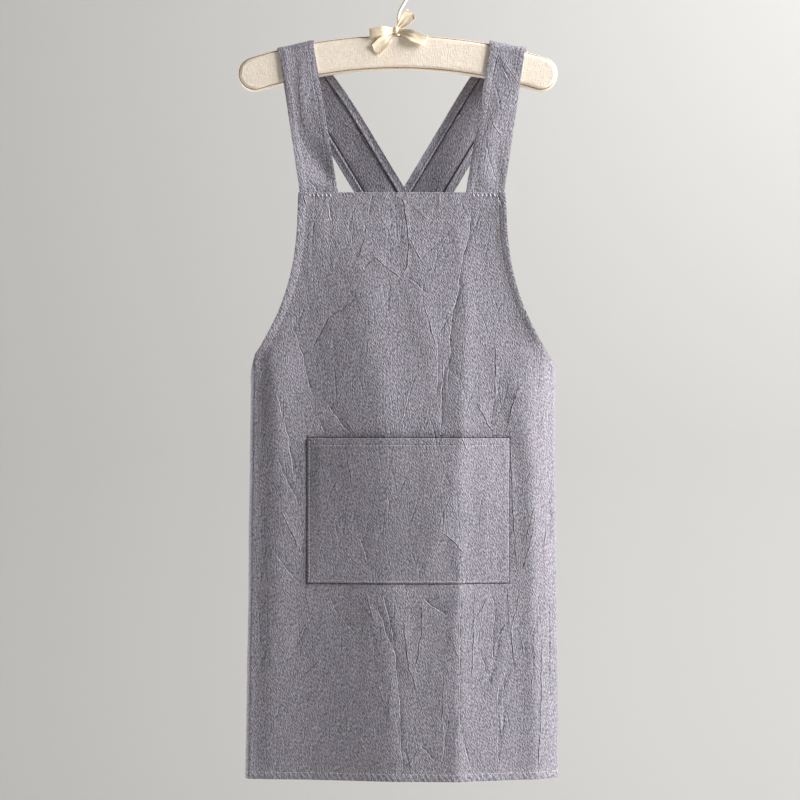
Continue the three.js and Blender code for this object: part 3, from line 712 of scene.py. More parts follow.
def washed_linen(colours):
    """Plain-weave cotton and linen, piece-dyed and washed: matt, with uneven yarns that give a faint
    two-way streak, a crepe grain, and thin set-in creases that break the light."""
    material, tree = new_material("washed_cotton_linen_plain_weave")
    flat = add(tree, "UVMap", {"uv_map": "flat"}).outputs["UV"]
    hem_ripple_and_highlight, off, depth = (add(tree, "Attribute", {"attribute_name": name}).outputs["Fac"]
                        for name in ("hem_ripple_and_highlight", "crease_off", "crease_depth"))
    # Yarns are 0.6 mm apart. The streaks are drawn at 1.5 mm, the finest that shows.
    yarn = 1 / (1.5 * MM)
    warp = noise(tree, scaled_place(tree, flat, (yarn, yarn / 9, 1)), 2.0)
    weft = noise(tree, scaled_place(tree, flat, (yarn / 9, yarn, 1)), 2.0)
    cloud = noise(tree, scaled_place(tree, flat, (1 / 0.03, 1 / 0.05, 1)), 3.0)
    yarns = calculate(tree, "MULTIPLY_ADD", weft, 0.35, warp)
    mauve = mix(tree, remap(tree, yarns, (0.375, 0.975)), tuple(colours.cloth_dark),
                tuple(colours.cloth_light))
    dyed = mix(tree, remap(tree, cloud, (0.38, 0.62)), mauve, tuple(colours.cloth_tint), "MULTIPLY")
    # Painted highlight: the hems are painted up to 5 % paler, standing in for the light caught by their
    # rolled edges.
    pale = mix(tree, calculate(tree, "MULTIPLY", hem_ripple_and_highlight, 0.05), dyed, linear("CFCBD2"))
    # The crepe grain is about 1 mm. It is drawn at 1.2 to 3.4 mm, so that it shows as grain.
    crepe = noise(tree, turned_place(tree, flat, 24, 0.0012, 0.0034), 0.0, Distortion=0.3)
    bumped = bump(tree, calculate(tree, "MULTIPLY_ADD", yarns, 0.25, crepe), 0.0009)
    # Charted creases: a thin groove and a ridge beside it. Their relief bumps the normal here, and below it
    # darkens the groove as painted shade and lightens the ridge as a painted highlight.
    lines = []
    for place, width, share in ((0.0, 0.65, -1.0), (1.3, 0.8, 0.8)):
        near = calculate(tree, "ABSOLUTE", calculate(tree, "SUBTRACT", off, place))
        lines.append(remap(tree, near, (0, width), (share, 0), smooth=True))
    relief = calculate(tree, "MULTIPLY", calculate(tree, "ADD", *lines), depth)
    bumped = bump(tree, relief, 0.001, Normal=bumped)
    # The stitching pulls each hem into slanting ripples about two stitches long.
    ripple = add(tree, "TexWave", Vector=turned_place(tree, flat, 32, 1, 1), Scale=pi / 10 / (6.2 * MM),
                 Distortion=1.5, Detail=1.0).outputs["Fac"]
    bumped = bump(tree, calculate(tree, "MULTIPLY", ripple, hem_ripple_and_highlight), 0.0005, Normal=bumped)
    # Painted shade and highlight: the colour is darker in the hollows of the crepe grain and in the crease
    # grooves, and lighter on the grain's tops and on the crease ridges.
    grain_painted_shading = remap(tree, crepe, (0.28, 0.72), (0.66, 1.34), smooth=True)
    shade = calculate(tree, "MULTIPLY_ADD", relief, 0.42, grain_painted_shading)
    toned = add(tree, "VectorMath", {"operation": "SCALE"}, Vector=pale, Scale=shade).outputs[0]
    # Creases follow the places where a slow noise crosses its middle, and come and go with the cloud.
    fade = remap(tree, cloud, (0.46, 0.62))
    for turn, across, along, width, deep in (
            (3, 0.024, 0.24, 0.016, 0.0006), (-33, 0.04, 0.2, 0.016, 0.0005),
            (10, 0.012, 0.08, 0.04, 0.0003)):
        slow = noise(tree, turned_place(tree, flat, turn, across, along), 0.0)
        near = calculate(tree, "ABSOLUTE", calculate(tree, "SUBTRACT", slow, 0.5))
        line = remap(tree, near, (0, width), (-1, 0), smooth=True)
        bumped = bump(tree, calculate(tree, "MULTIPLY", line, fade), deep, Normal=bumped)
    return shaded(material, Base_Color=toned, Roughness=remap(tree, weft, after=(0.86, 0.98)), Normal=bumped,
                  IOR=1.46, Sheen_Weight=0.12, Sheen_Roughness=0.5)


def sewing_thread(colours):
    """Spun polyester thread: two plies twisted together, a little brighter than the cloth."""
    material, tree = new_material("spun_polyester_thread")
    ply = noise(tree, add(tree, "TexCoord").outputs["Object"], 1.0, 1 / (1.2 * MM))
    tone = mix(tree, ply, tuple(colours.thread), linear("E6E2E8"))
    return shaded(material, Base_Color=tone, Roughness=0.7, Normal=bump(tree, ply, 0.0002, 0.4), IOR=1.5)


def cream_cotton(colours):
    """Cream cotton with a slub, drawn tight over padding: matt, with a fine upright grain."""
    material, tree = new_material("cream_slub_cotton")
    place = add(tree, "TexCoord").outputs["Object"]
    # The yarns are 0.4 mm. The slub is drawn at 1.6 mm, the finest that shows.
    slub = noise(tree, scaled_place(tree, place, (1 / 0.0016, 1 / 0.0016, 1 / 0.005)), 2.0)
    cross = noise(tree, scaled_place(tree, place, (1 / 0.007, 1 / 0.007, 1 / 0.0018)), 1.0)
    weave = calculate(tree, "MULTIPLY_ADD", cross, 0.6, slub)
    tone = mix(tree, remap(tree, weave, (0.55, 1.05)), linear("F2E1CB"), tuple(colours.pad))
    return shaded(material, Base_Color=tone, Roughness=remap(tree, weave, after=(0.72, 0.86)),
                  Normal=bump(tree, weave, 0.00035), IOR=1.47, Sheen_Weight=0.15, Sheen_Roughness=0.4)


def twisted_cord(colours):
    """Tan rayon cord, two plies twisted: a darker line with a slight shine on each ply."""
    material, tree = new_material("twisted_rayon_cord")
    ply = noise(tree, add(tree, "TexCoord").outputs["Object"], 1.0, 1 / 0.0014)
    tone = mix(tree, ply, linear("9A7440"), tuple(colours.cord))
    return shaded(material, Base_Color=tone, Roughness=0.5, Normal=bump(tree, ply, 0.0003, 0.6), IOR=1.5)


def wrapping_tape(colours):
    """Cotton tape wound round the wire: pale, with a shallow edge at each turn."""
    material, tree = new_material("wound_cotton_tape")
    place = add(tree, "TexCoord").outputs["Object"]
    turns = add(tree, "Mapping", Vector=place, Rotation=(0, radians(24), 0), Scale=(0, 0, 1)).outputs[0]
    # The tape is 8 mm wide and each turn covers half of the last.
    wind = add(tree, "TexWave", {"wave_type": "BANDS", "bands_direction": "Z", "wave_profile": "SAW"},
               Vector=turns, Scale=pi / 10 / (4 * MM)).outputs["Fac"]
    grain = noise(tree, place, 2.0, 1 / (1.1 * MM))
    tone = mix(tree, wind, linear("E9DFCC"), tuple(colours.tape))
    relief = calculate(tree, "MULTIPLY_ADD", grain, 0.3, wind)
    return shaded(material, Base_Color=tone, Roughness=remap(tree, grain, after=(0.55, 0.7)),
                  Normal=bump(tree, relief, 0.0004, 0.5), IOR=1.47)


def satin(colours):
    """Woven satin ribbon: long floats along its length that give a soft sheen."""
    material, tree = new_material("woven_satin_ribbon")
    place = add(tree, "UVMap", {"uv_map": "flat"}).outputs["UV"]
    yarn = noise(tree, scaled_place(tree, place, (1 / 0.0009, 1 / 0.012, 1)), 2.0)
    tone = mix(tree, yarn, linear("F8DDB6"), tuple(colours.ribbon))
    return shaded(material, Base_Color=tone, Roughness=remap(tree, yarn, after=(0.32, 0.46)),
                  Normal=bump(tree, yarn, 0.0002, 0.3), IOR=1.5, Sheen_Weight=0.3, Sheen_Roughness=0.3)


def painted_stage(colours):
    """Matt painted board: pale and even, with a faint roller grain."""
    material, tree = new_material("matt_painted_board")
    grain = noise(tree, add(tree, "TexCoord").outputs["Object"], 2.0, 1 / 0.02)
    return shaded(material, Base_Color=tuple(colours.stage), Roughness=remap(tree, grain, after=(0.85, 0.95)))


MATERIALS = {
    "linen": washed_linen, "thread": sewing_thread, "pad": cream_cotton, "cord": twisted_cord,
    "tape": wrapping_tape, "ribbon": satin, "stage": painted_stage,
}
made_materials = {}


def material_named(name):
    """The finish of that name, made the first time that it is asked for."""
    if name not in made_materials:
        made_materials[name] = MATERIALS[name](bpy.context.scene.apron_colours)
    return made_materials[name]


# Apron body


def body_columns(s):
    """Stations round the body, from the left back edge to the right one: (zone, side, place in it). The
    place is a distance from the zone's own edge, an angle in a fold, or a share of the front's half."""
    back = [*HEM_LINES, *np.linspace(HEM_LINES[-1], s["back_width"], BACK_COLUMNS)[1:]]
    fold = np.linspace(pi, 0, FOLD_COLUMNS)[1:-1]
    left = [("back", -1, at) for at in back] + [("fold", -1, a) for a in fold]
    left += [("edge", -1, inset) for inset in HEM_LINES[:-1]]
    middle = [("front", 0, share) for share in np.linspace(-1, 1, FRONT_COLUMNS)]
    return left + middle + [(zone, 1, at) for zone, _, at in reversed(left)]


def body_rows(s):
    """Heights up the body: (what they are counted from, a distance or a share)."""
    skirt = [("hem", up) for up in HEM_LINES]
    skirt += [("share", t) for t in np.linspace(0, 1, SKIRT_ROWS)[1:-1]]
    skirt += [("cut", down) for down in reversed(HEM_LINES)]
    # Closer lines at the facing's foot and at the bib's top, counted down from the facing's foot.
    facing = (1.0, 0.4, 0, -0.6, -1.4, -3, *np.linspace(-6, -s["facing"] + 7, FACING_ROWS))
    top = [-s["facing"] + inset for inset in (5.6, 4.6, 3.6, 2.4, 1.2, 0)]
    bib = np.linspace(s["armhole_foot"], s["bib_top"] - s["facing"] - 2, BIB_ROWS)[1:]
    bib = [*bib, *(s["bib_top"] - s["facing"] - down for down in (*facing, *top))]
    return skirt + [("bib", z) for z in bib]


def body_grid(s):
    """The body's right side with all its relief, its flat places, and where it is cloth and hem."""
    columns, rows = body_columns(s), body_rows(s)
    count = (len(columns), len(rows))
    points, flat = np.zeros((*count, 3)), np.zeros((*count, 2))
    inset = np.full(count, FAR)
    for i, (zone, side, at) in enumerate(columns):
        turn = at / pi if zone == "fold" else 1.0 if zone == "back" else 0.0
        cut = lerp(s["armhole_foot"], s["back_top"], 1 - (1 - turn) ** 1.4)
        foot = s["hem"] + HEM_LINES[-1]
        heights = {
            "hem": lambda k: s["hem"] + k, "cut": lambda k: cut - k,
            "share": lambda k: lerp(foot, cut - HEM_LINES[-1], k),
            "bib": lambda k: k - s["armhole_foot"] + cut,
        }
        z = np.array([heights[kind](k) for kind, k in rows])
        half = front_half(s, z)
        if zone == "back":
            roll = 3.5 * bell(at - 40, 24) * smoothstep(60, 260, s["back_top"] - z)
            x, y = side * (half - s["back_width"] + at), s["fold_radius"] + roll
            across = half + s["fold_radius"] * 2.4 + s["back_width"] - at
            inset[i] = at
        elif zone == "fold":
            near = right_turn(s, z) * edge_turn(0) * (side > 0) - s["fold_radius"]
            up = np.clip((z - s["hem"]) / (s["armhole_foot"] - s["hem"]), 0, 1)
            lean = s["right_reach"] * (side > 0) * up
            # The fold goes on at the slope that the front comes in with.
            first = radians(44) if side > 0 else radians(12)
            swing = first + (pi - first) * at / pi
            x = side * (half + (s["fold_reach"] + lean) * (sin(swing) - sin(first)) / (1 - sin(first)))
            y = lerp(near, s["fold_radius"], (cos(first) - cos(swing)) / (1 + cos(first)))
            across = half + s["fold_radius"] * 2.4 * at / pi
        else:
            x = side * (half - at) if zone == "edge" else at * (half - HEM_LINES[-1])
            y = front_y(s, x, z)
            across = np.abs(x)
        points[i] = np.stack([x, y, z], 1)
        flat[i] = np.stack([np.sign(x) * across, z], 1)
    kinds = np.array([kind for kind, _ in rows])
    zones = np.array([zone for zone, _, _ in columns])
    is_front = np.isin(zones, ("edge", "front"))
    x, z = points[..., 0], points[..., 2]
    inset = np.minimum(inset, z - s["hem"])
    above = kinds == "bib"
    armhole = front_half(s, z) - np.abs(x)
    inset = np.where(is_front[:, None] & above, np.minimum(inset, armhole), inset)
    depth = np.array([k if kind == "cut" else FAR for kind, k in rows])
    inset = np.where(is_front[:, None], inset, np.minimum(inset, depth))
    facing = np.where(is_front[:, None] & above, s["bib_top"] - z, FAR)
    normals = surface_normals(points)
    calm = 1 - 0.75 * in_pocket(s, x, z, 8) * is_front[:, None]
    calm = calm * smoothstep(0, 20, inset + 6)
    relief = crinkle(flat[..., 0], flat[..., 1], 11) * calm
    relief += hem_relief(inset)
    curled = np.where(is_front[:, None] & above, np.clip(1 - armhole / 11, 0, 1) ** 2, 0)
    relief += (s["curl"] * curled * smoothstep(0, 24, s["bib_top"] - z)
               * smoothstep(0, 30, z - s["armhole_foot"]))
    # The facing: its two sewn grooves, its thickness, and the rounding of the bib's top edge.
    relief += -0.3 * bell(facing - 4.2, 1.0) - 0.15 * bell(facing - s["facing"], 1.1)
    relief += 0.12 * (1 - smoothstep(s["facing"] - 1, s["facing"] + 1, facing))
    relief -= 0.9 * (1 - np.sqrt(1 - np.clip(1 - facing / 2.6, 0, 1) ** 2))
    points = points + normals * (s["cloth"] / 2 + relief)[..., None]
    points[..., 0] += s["off_centre"]
    cell_front = is_front[:-1] & is_front[1:]
    holds = np.ones((count[0] - 1, count[1] - 1), bool)
    holds &= ~above[None, 1:] | cell_front[:, None]
    hem = ((inset <= HEM_TURN + 0.1) | (facing <= s["facing"] + 0.1)).astype(float)
    roped = smoothstep(HEM_TURN + 1, HEM_STITCH - 1, inset) * np.where(z - s["hem"] < 11, 0.9, 0.2)
    return points, flat, holds, hem, roped, normals, columns, rows


class APRON_OT_body(bpy.types.Operator):
    """Sews the apron's body: bib, armholes, skirt, side folds and back panels, with its stitching"""
    bl_idname = "apron.body"
    bl_label = "Apron Body"

    def execute(self, context):
        s = sizes()
        points, flat, holds, hem, roped, normals, columns, rows = body_grid(s)
        body = cloth_piece("apron_body_cloth", points, flat, holds, hem, (s["cloth"], s["turned_hem"]),
                           material_named("linen"), roped)
        press_creases(body, CREASES, s["off_centre"])
        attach(body, "root")
        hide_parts("apron_body")
        kinds = [kind for kind, _ in rows]
        zones = [zone for zone, _, _ in columns]
        stitch_at = HEM_LINES.index(HEM_STITCH)
        first_bib, hem_row = kinds.index("bib"), [k for _, k in rows].index(HEM_STITCH)
        cut_row = first_bib - 1 - stitch_at
        fronts = [i for i, zone in enumerate(zones) if zone in ("edge", "front")]
        backs = [i for i, zone in enumerate(zones) if zone in ("back", "fold")]
        armholes = (fronts[0] + stitch_at, fronts[-1] - stitch_at)
        tops = [j for j, kind in enumerate(kinds) if kind == "bib"]
        top_row = min(tops, key=lambda j: abs(s["bib_top"] - rows[j][1] - TOP_STITCH))
        facing_row = min(tops, key=lambda j: abs(s["bib_top"] - rows[j][1] - s["facing"]))
        across = [(slice(None), hem_row), (fronts, top_row), (fronts[stitch_at:-stitch_at], facing_row)]
        half = len(backs) // 2
        across += [(backs[:half], cut_row), (backs[half:], cut_row)]
        up = [(i, slice(first_bib, top_row + 1)) for i in armholes]
        up += [(i, slice(hem_row, cut_row + 1)) for i in (stitch_at, len(columns) - 1 - stitch_at)]
        lines = []
        for place in across + up:
            out = normals[place]
            lines.append((points[place], out))
            lines.append((points[place] - out * s["turned_hem"], -out))
        tacks = []
        for at in np.arange(*TACKS):
            for x in (-at, at):
                near = min(fronts, key=lambda i: abs(points[i, top_row, 0] - s["off_centre"] - x))
                slant = np.outer((-4.5, 4.5), (0.4, 0, -0.9))
                tacks.append((points[near, top_row] + slant, normals[[near, near], top_row]))
        sewn = stitch_piece("apron_body_stitching", lines, s, tacks)
        return {"FINISHED"}


# Pocket


class APRON_OT_pocket(bpy.types.Operator):
    """Sews the patch pocket onto the front, with its hemmed mouth standing open a little"""
    bl_idname = "apron.pocket"
    bl_label = "Patch Pocket"

    # Grid lines in from a sewn edge, where the even grid begins inside it and below the mouth, how far
    # the right side stands off the front, the thickness of the turned-in sides, the size of the stitched
    # corners, and the pocket's place on the uncut cloth.
    EDGE_LINES = (0, 0.8, 1.6, 2.4, 3.2, 4.6, 6.6)
    INSIDE, BELOW_MOUTH = 8.8, 13.4
    SEAT = 1.4
    SIDE_CLOTH = 1.6
    CORNER, CORNER_TOP = 9.0, 1.5
    FLAT_X = 400

    def execute(self, context):
        s = sizes()
        edge = self.EDGE_LINES
        left, right, foot, top = (s["pocket_" + name] for name in ("left", "right", "foot", "top"))
        xs = np.array([*(left + e for e in edge),
                       *np.linspace(left + self.INSIDE, right - self.INSIDE, POCKET_COLUMNS),
                       *(right - e for e in reversed(edge))])
        zs = np.array([*(foot + e for e in edge),
                       *np.linspace(foot + self.INSIDE, top - self.BELOW_MOUTH, POCKET_ROWS),
                       *(top - e for e in reversed(HEM_LINES))])
        x, z = np.meshgrid(xs, zs, indexing="ij")
        across = 2 * (x - left) / (right - left) - 1
        up = (z - foot) / (top - foot)
        bulge = s["pocket_bulge"] * (1 - across * across) * smoothstep(0, 0.9, up)
        turned = (self.SIDE_CLOTH - s["pocket_cloth"]) / (s["turned_hem"] - s["pocket_cloth"])
        y = front_y(s, x, z) - s["cloth"] / 2 - self.SEAT - bulge
        side = np.minimum(np.minimum(x - left, right - x), z - foot)
        y -= fold_height(POCKET_FOLDS, x, z) * smoothstep(0, 16, side)
        points = np.stack([x, y, z], 2)
        normals = surface_normals(points)
        relief = crinkle(x + self.FLAT_X, z, 31) * smoothstep(-2, 12, side) * 0.9
        relief += hem_relief(top - z)
        relief -= 0.3 * bell(side - EDGE_STITCH, 0.9)
        relief -= 0.7 * (1 - np.sqrt(1 - np.clip(1 - side / 1.2, 0, 1) ** 2))
        points = points + normals * relief[..., None]
        points[..., 0] += s["off_centre"]
        hem = np.where(top - z <= HEM_TURN + 0.1, 1.0, np.where(side < 6.7, turned, 0.0))
        # The outermost millimetre is left thin, so that the sewn edge looks pressed.
        hem = np.where(side < 1.5, 0.0, hem)
        holds = np.ones((len(xs) - 1, len(zs) - 1), bool)
        flat = np.stack([x + self.FLAT_X, z], 2)
        pocket = cloth_piece("pocket_cloth", points, flat, holds, hem, (s["pocket_cloth"], s["turned_hem"]),
                             material_named("linen"), 0.12 * (hem == 1))
        press_creases(pocket, POCKET_CREASES, s["off_centre"])
        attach(pocket, "root")
        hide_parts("pocket")
        at = edge.index(EDGE_STITCH)
        mouth = len(zs) - 1 - HEM_LINES.index(HEM_STITCH)
        runs = [(at, slice(at, None)), (len(xs) - 1 - at, slice(at, None)),
                (slice(at, len(xs) - at), at), (slice(at, len(xs) - at), mouth)]
        lines = [(points[run], normals[run]) for run in runs]
        box, brim = self.CORNER, top - self.CORNER_TOP
        for far, near in (((left + EDGE_STITCH, brim), (left + box, brim)),
                          ((left + box, brim), (left + box, top - box)),
                          ((right - box, top - box), (right - EDGE_STITCH, brim))):
            t = np.linspace(0, 1, 8)
            i = np.round(np.interp(lerp(far[0], near[0], t), xs, np.arange(len(xs)))).astype(int)
            j = np.round(np.interp(lerp(far[1], near[1], t), zs, np.arange(len(zs)))).astype(int)
            lines.append((points[i, j], normals[i, j]))
        sewn = stitch_piece("pocket_stitching", lines, s)
        return {"FINISHED"}


# Straps


def strap_path(s, h, step):
    """Stations along the left strap: its middle, its width, its lean, and how far it is free to twist."""
    edge, start, end = h["arm_edge"], STRAP_FRONT, STRAP_BACK
    lie_off = h["arm_thickness"] / 2 + STRAP_EASE + s["turned_hem"] / 2
    bend = edge + STRAP_EASE + s["turned_hem"] / 2
    flat = h["arm_thickness"] / 2 - edge
    outer = h["arm_curve"] + h["arm_height"] / 2
    shoulder = h["arm_top"] - outer + (outer ** 2 - (start.top_x + s["off_centre"]) ** 2) ** 0.5 - edge
    front_foot, back_foot = s["bib_top"] - s["facing"] + 3, s["back_top"] - 30
    t = np.linspace(0, 1, start.rows)
    front = np.stack([
        lerp(start.foot_x, start.top_x, t), lerp(start.foot_y, -lie_off, smoothstep(0.2, 0.75, t)),
        lerp(front_foot, shoulder, t), lerp(start.foot_width, start.top_width, t),
        lerp(start.lean, STRAP_TURN_LEAN, smoothstep(0.6, 0.95, t)), 0 * t], 1)
    quarter = STRAP_TURN_ROWS // 2
    a = np.concatenate([np.linspace(0, pi / 2, quarter + 1)[1:], np.linspace(pi / 2, pi, quarter + 1)[:-1]])
    side = np.where(np.arange(len(a)) < quarter, -flat, flat)
    turn = np.stack([
        lerp(start.top_x, end.top_x, a / pi), -bend * np.cos(a) + side, shoulder + bend * np.sin(a),
        lerp(start.top_width, end.top_width, a / pi), 0 * a + STRAP_TURN_LEAN, 0 * a], 1)
    t = np.linspace(0, 1, end.rows)
    z = lerp(shoulder, back_foot, t)
    near = np.clip(1 - ((z - CROSSING) / CROSSING_REACH) ** 2, 0, 1)
    back = np.stack([
        lerp(end.top_x, end.foot_x, t),
        lerp(lie_off, end.foot_y, smoothstep(0.1, 0.6, t)) + step * near * near * (3 - 2 * near), z,
        lerp(end.top_width, end.foot_width, smoothstep(0, 0.2, t)),
        lerp(STRAP_TURN_LEAN, end.lean, smoothstep(0, 0.16, t)),
        smoothstep(-140, -170, z) * smoothstep(-300, -255, z)], 1)
    return np.concatenate([front, turn, back])


class APRON_OT_straps(bpy.types.Operator):
    """Sews the two shoulder straps, over the hanger and crossed behind the bib"""
    bl_idname = "apron.straps"
    bl_label = "Shoulder Straps"

    # Each strap's side, its shift where the two cross, its twist behind the bib, and its seed.
    STRAPS = (("strap_left", -1, -2.6, 4.5, 51), ("strap_right", 1, 1.0, 3.4, 71))

    def execute(self, context):
        for row in self.STRAPS:
            self.sew(*row)
        return {"FINISHED"}

    def sew(self, name, side, step, twist, seed):
        s = sizes()
        path = strap_path(s, sizes("hanger_sizes"), step)
        middle, width, lean, free = path[:, :3], path[:, 3], np.radians(path[:, 4]), path[:, 5]
        edges = np.array(HEM_LINES)
        inner = np.linspace(-1, 1, STRAP_COLUMNS)
        off = np.concatenate([
            edges[:-1, None] - width / 2, inner[:, None] * (width / 2 - edges[-1]),
            (width / 2 - edges[:-1, None])[::-1]])
        run = np.concatenate([[0], np.cumsum(np.linalg.norm(np.diff(middle, axis=0), axis=1))])
        share = 2 * off / width
        x = middle[:, 0] + off * np.cos(lean)
        y = middle[:, 1] - twist * free * share
        z = middle[:, 2] + off * np.sin(lean)
        points = np.stack([x, y, z], 2)
        flat = np.stack([off + seed * 10, np.broadcast_to(run, off.shape)], 2)
        if side > 0:
            points[..., 0] *= -1
            points, flat, off = points[::-1], flat[::-1], off[::-1]
        # The front folds begin above the seam behind the bib.
        front = (np.arange(len(run)) < STRAP_FRONT.rows) * smoothstep(26, 52, run)
        points[..., 1] -= fold_height(STRAP_FOLDS[name], points[..., 0], points[..., 2]) * front
        # Above the crossing both straps lie a little to the right.
        on_back = np.arange(len(run)) >= STRAP_BACK_START
        behind = on_back * smoothstep(-110, -200, points[..., 2])
        points[..., 0] += 2.4 * behind * smoothstep(-500, -330, points[..., 2])
        normals = surface_normals(points)
        inset = width / 2 - np.abs(off)
        sewn_down = smoothstep(0, 40, run) * smoothstep(0, 40, run[-1] - run)
        relief = crinkle(flat[..., 0], flat[..., 1], seed) * 0.8 * lerp(0.2, 1, sewn_down)
        relief = relief + hem_relief(inset) * 0.8
        points = points + normals * (s["cloth"] / 2 + relief)[..., None]
        points[..., 0] += s["off_centre"]
        # The cloth is drawn thin along the inner edge of each hem.
        hem = np.where(inset <= HEM_TURN + 0.1, 1.0, np.where(inset <= HEM_LINES[-1] - 0.1, 0.0, 0.4))
        holds = np.ones((off.shape[0] - 1, off.shape[1] - 1), bool)
        strap = cloth_piece(name + "_cloth", points, flat, holds, hem, (0.5 * s["cloth"], s["turned_hem"]),
                            material_named("linen"), 0.1 * (hem == 1))
        # On the wrong side, in sight above the bib, the edge of each hem shows as a sharp step.
        steps = []
        for i in (len(edges) - 1, off.shape[0] - len(edges)):
            shown = on_back & (points[i, :, 2] < -125) & (points[i, :, 2] > -470)
            line = tuple((x - s["off_centre"], z) for x, _, z in points[i][shown][::8])
            steps.append(Crease(line, 1.5, sewn=True, behind=True))
        press_creases(strap, STRAP_CREASES + tuple(steps), s["off_centre"])
        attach(strap, "root")
        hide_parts(name)
        at = HEM_LINES.index(HEM_STITCH)
        lines = []
        for i in (at, off.shape[0] - 1 - at):
            lines.append((points[i], normals[i]))
            lines.append((points[i] - normals[i] * s["turned_hem"], -normals[i]))
        sewn = stitch_piece(name + "_stitching", lines, s)


# Hanger


def arm_outline(h, along=136, round_end=24):
    """Round the arm in the front view: the spine's places, the way out from them, and the distance run.
    The upper and lower runs stop at the same places of the spine, so that the cover closes along it."""
    half, curve = h["arm_height"] / 2, h["arm_curve"]
    swing = np.arcsin((h["arm_length"] / 2 - half) / curve)
    long, cap = 2 * swing * curve, pi * half
    once = np.concatenate([np.linspace(0, long, along, endpoint=False),
                           np.linspace(long, long + cap, round_end, endpoint=False)])
    at = np.concatenate([once, once + long + cap])
    spine, way = np.zeros((len(at), 2)), np.zeros((len(at), 2))
    for k, d in enumerate(at):
        if d < long:
            angle, out = pi / 2 + swing - d / curve, 0
        elif d < long + cap:
            angle, out = pi / 2 - swing, -(d - long) / half
        elif d < 2 * long + cap:
            angle, out = pi / 2 - swing + (d - long - cap) / curve, pi
        else:
            angle, out = pi / 2 + swing, pi - (d - 2 * long - cap) / half
        spine[k] = curve * cos(angle), h["arm_top"] - half - curve + curve * sin(angle)
        way[k] = cos(angle + out), sin(angle + out)
    return spine, way, at


class APRON_OT_hanger(bpy.types.Operator):
    """Covers the hanger's padded arm, with a cord sewn along its front and back seams"""
    bl_idname = "apron.hanger"
    bl_label = "Padded Hanger"

    # Where the seams lie round the arm's edge, from the front or the back, and how near places merge.
    SEAM = radians(54)
    MERGE = 0.2

    def execute(self, context):
        h = sizes("hanger_sizes")
        spine, way, at = arm_outline(h)
        reach, y, lean = self.section(h)
        count, rings = len(spine), len(reach)
        run, from_seam = at[None, :], np.abs(np.abs(lean) - self.SEAM)[:, None] * h["arm_edge"]
        gathers = gradient_noise(run / 6.5, 0 * from_seam, 5) * 0.25 * np.exp(-from_seam / 5)
        dents = gradient_noise(run / 38, lean[:, None] * 2, 6) * 0.25
        groove = -0.7 * bell(from_seam, 0.9)
        puff = (gathers + dents + groove) * smoothstep(0, 6, reach)[:, None]
        out, front = np.sin(np.abs(lean)), np.where(lean < 0, -np.cos(lean), np.cos(lean))
        reach = reach[:, None] + puff * out[:, None]
        points = np.stack([spine[:, 0] + way[:, 0] * reach, y[:, None] + puff * front[:, None],
                           spine[:, 1] + way[:, 1] * reach], 2)
        faces = []
        for r in range(rings - 1):
            for k in range(count):
                low, next_low = r * count + k, r * count + (k + 1) % count
                faces.append((low, next_low, next_low + count, low + count))
        pad = mesh_piece("hanger_pad", points.reshape(-1, 3), faces, material_named("pad"))
        close_up(pad, self.MERGE)
        cords = self.seam_cords(h, spine, way)
        for piece in (pad, cords):
            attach(piece, "root")
        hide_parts("hanger_arm")
        return {"FINISHED"}

    def section(self, h):
        """From the front's middle to the back's: reach from the spine, depth, and lean of the cover."""
        half, deep, edge = h["arm_height"] / 2, h["arm_thickness"] / 2, h["arm_edge"]
        flat = np.linspace(0, half - edge, 6)[:-1]
        turn = np.linspace(0, pi / 2, 19)
        reach = np.concatenate([flat, half - edge + edge * np.sin(turn)])
        y = np.concatenate([0 * flat - deep, edge - deep - edge * np.cos(turn)])
        lean = np.concatenate([0 * flat - 1e-6, -turn])
        return (np.concatenate([reach, reach[::-1]]), np.concatenate([y, -y[::-1]]),
                np.concatenate([lean, -lean[::-1]]))

    def seam_cords(self, h, spine, way):
        """Two plies of cord twisted along each seam."""
        thick, edge = h["seam_cord"] / 2, h["arm_edge"] - 0.45
        reach = h["arm_height"] / 2 - h["arm_edge"] + edge * sin(self.SEAM)
        deep = h["arm_thickness"] / 2 - h["arm_edge"] + edge * cos(self.SEAM)
        sides, count = 8, len(spine)
        points, faces = [], []
        for y in (-deep, deep):
            base = len(points)
            for n in range(count):
                twist = 0.25 * thick * cos(pi * n)
                for k in range(sides):
                    a = 2 * pi * k / sides
                    fat = thick + twist * cos(2 * a)
                    out = reach + fat * cos(a)
                    points.append((spine[n, 0] + way[n, 0] * out, y + fat * sin(a),
                                   spine[n, 1] + way[n, 1] * out))
            for n in range(count):
                for k in range(sides):
                    m, q = (n + 1) % count, (k + 1) % sides
                    faces.append((base + n * sides + k, base + m * sides + k, base + m * sides + q,
                                  base + n * sides + q))
        cords = mesh_piece("hanger_seam_cord", points, faces, material_named("cord"))
        close_up(cords, self.MERGE)
        return cords


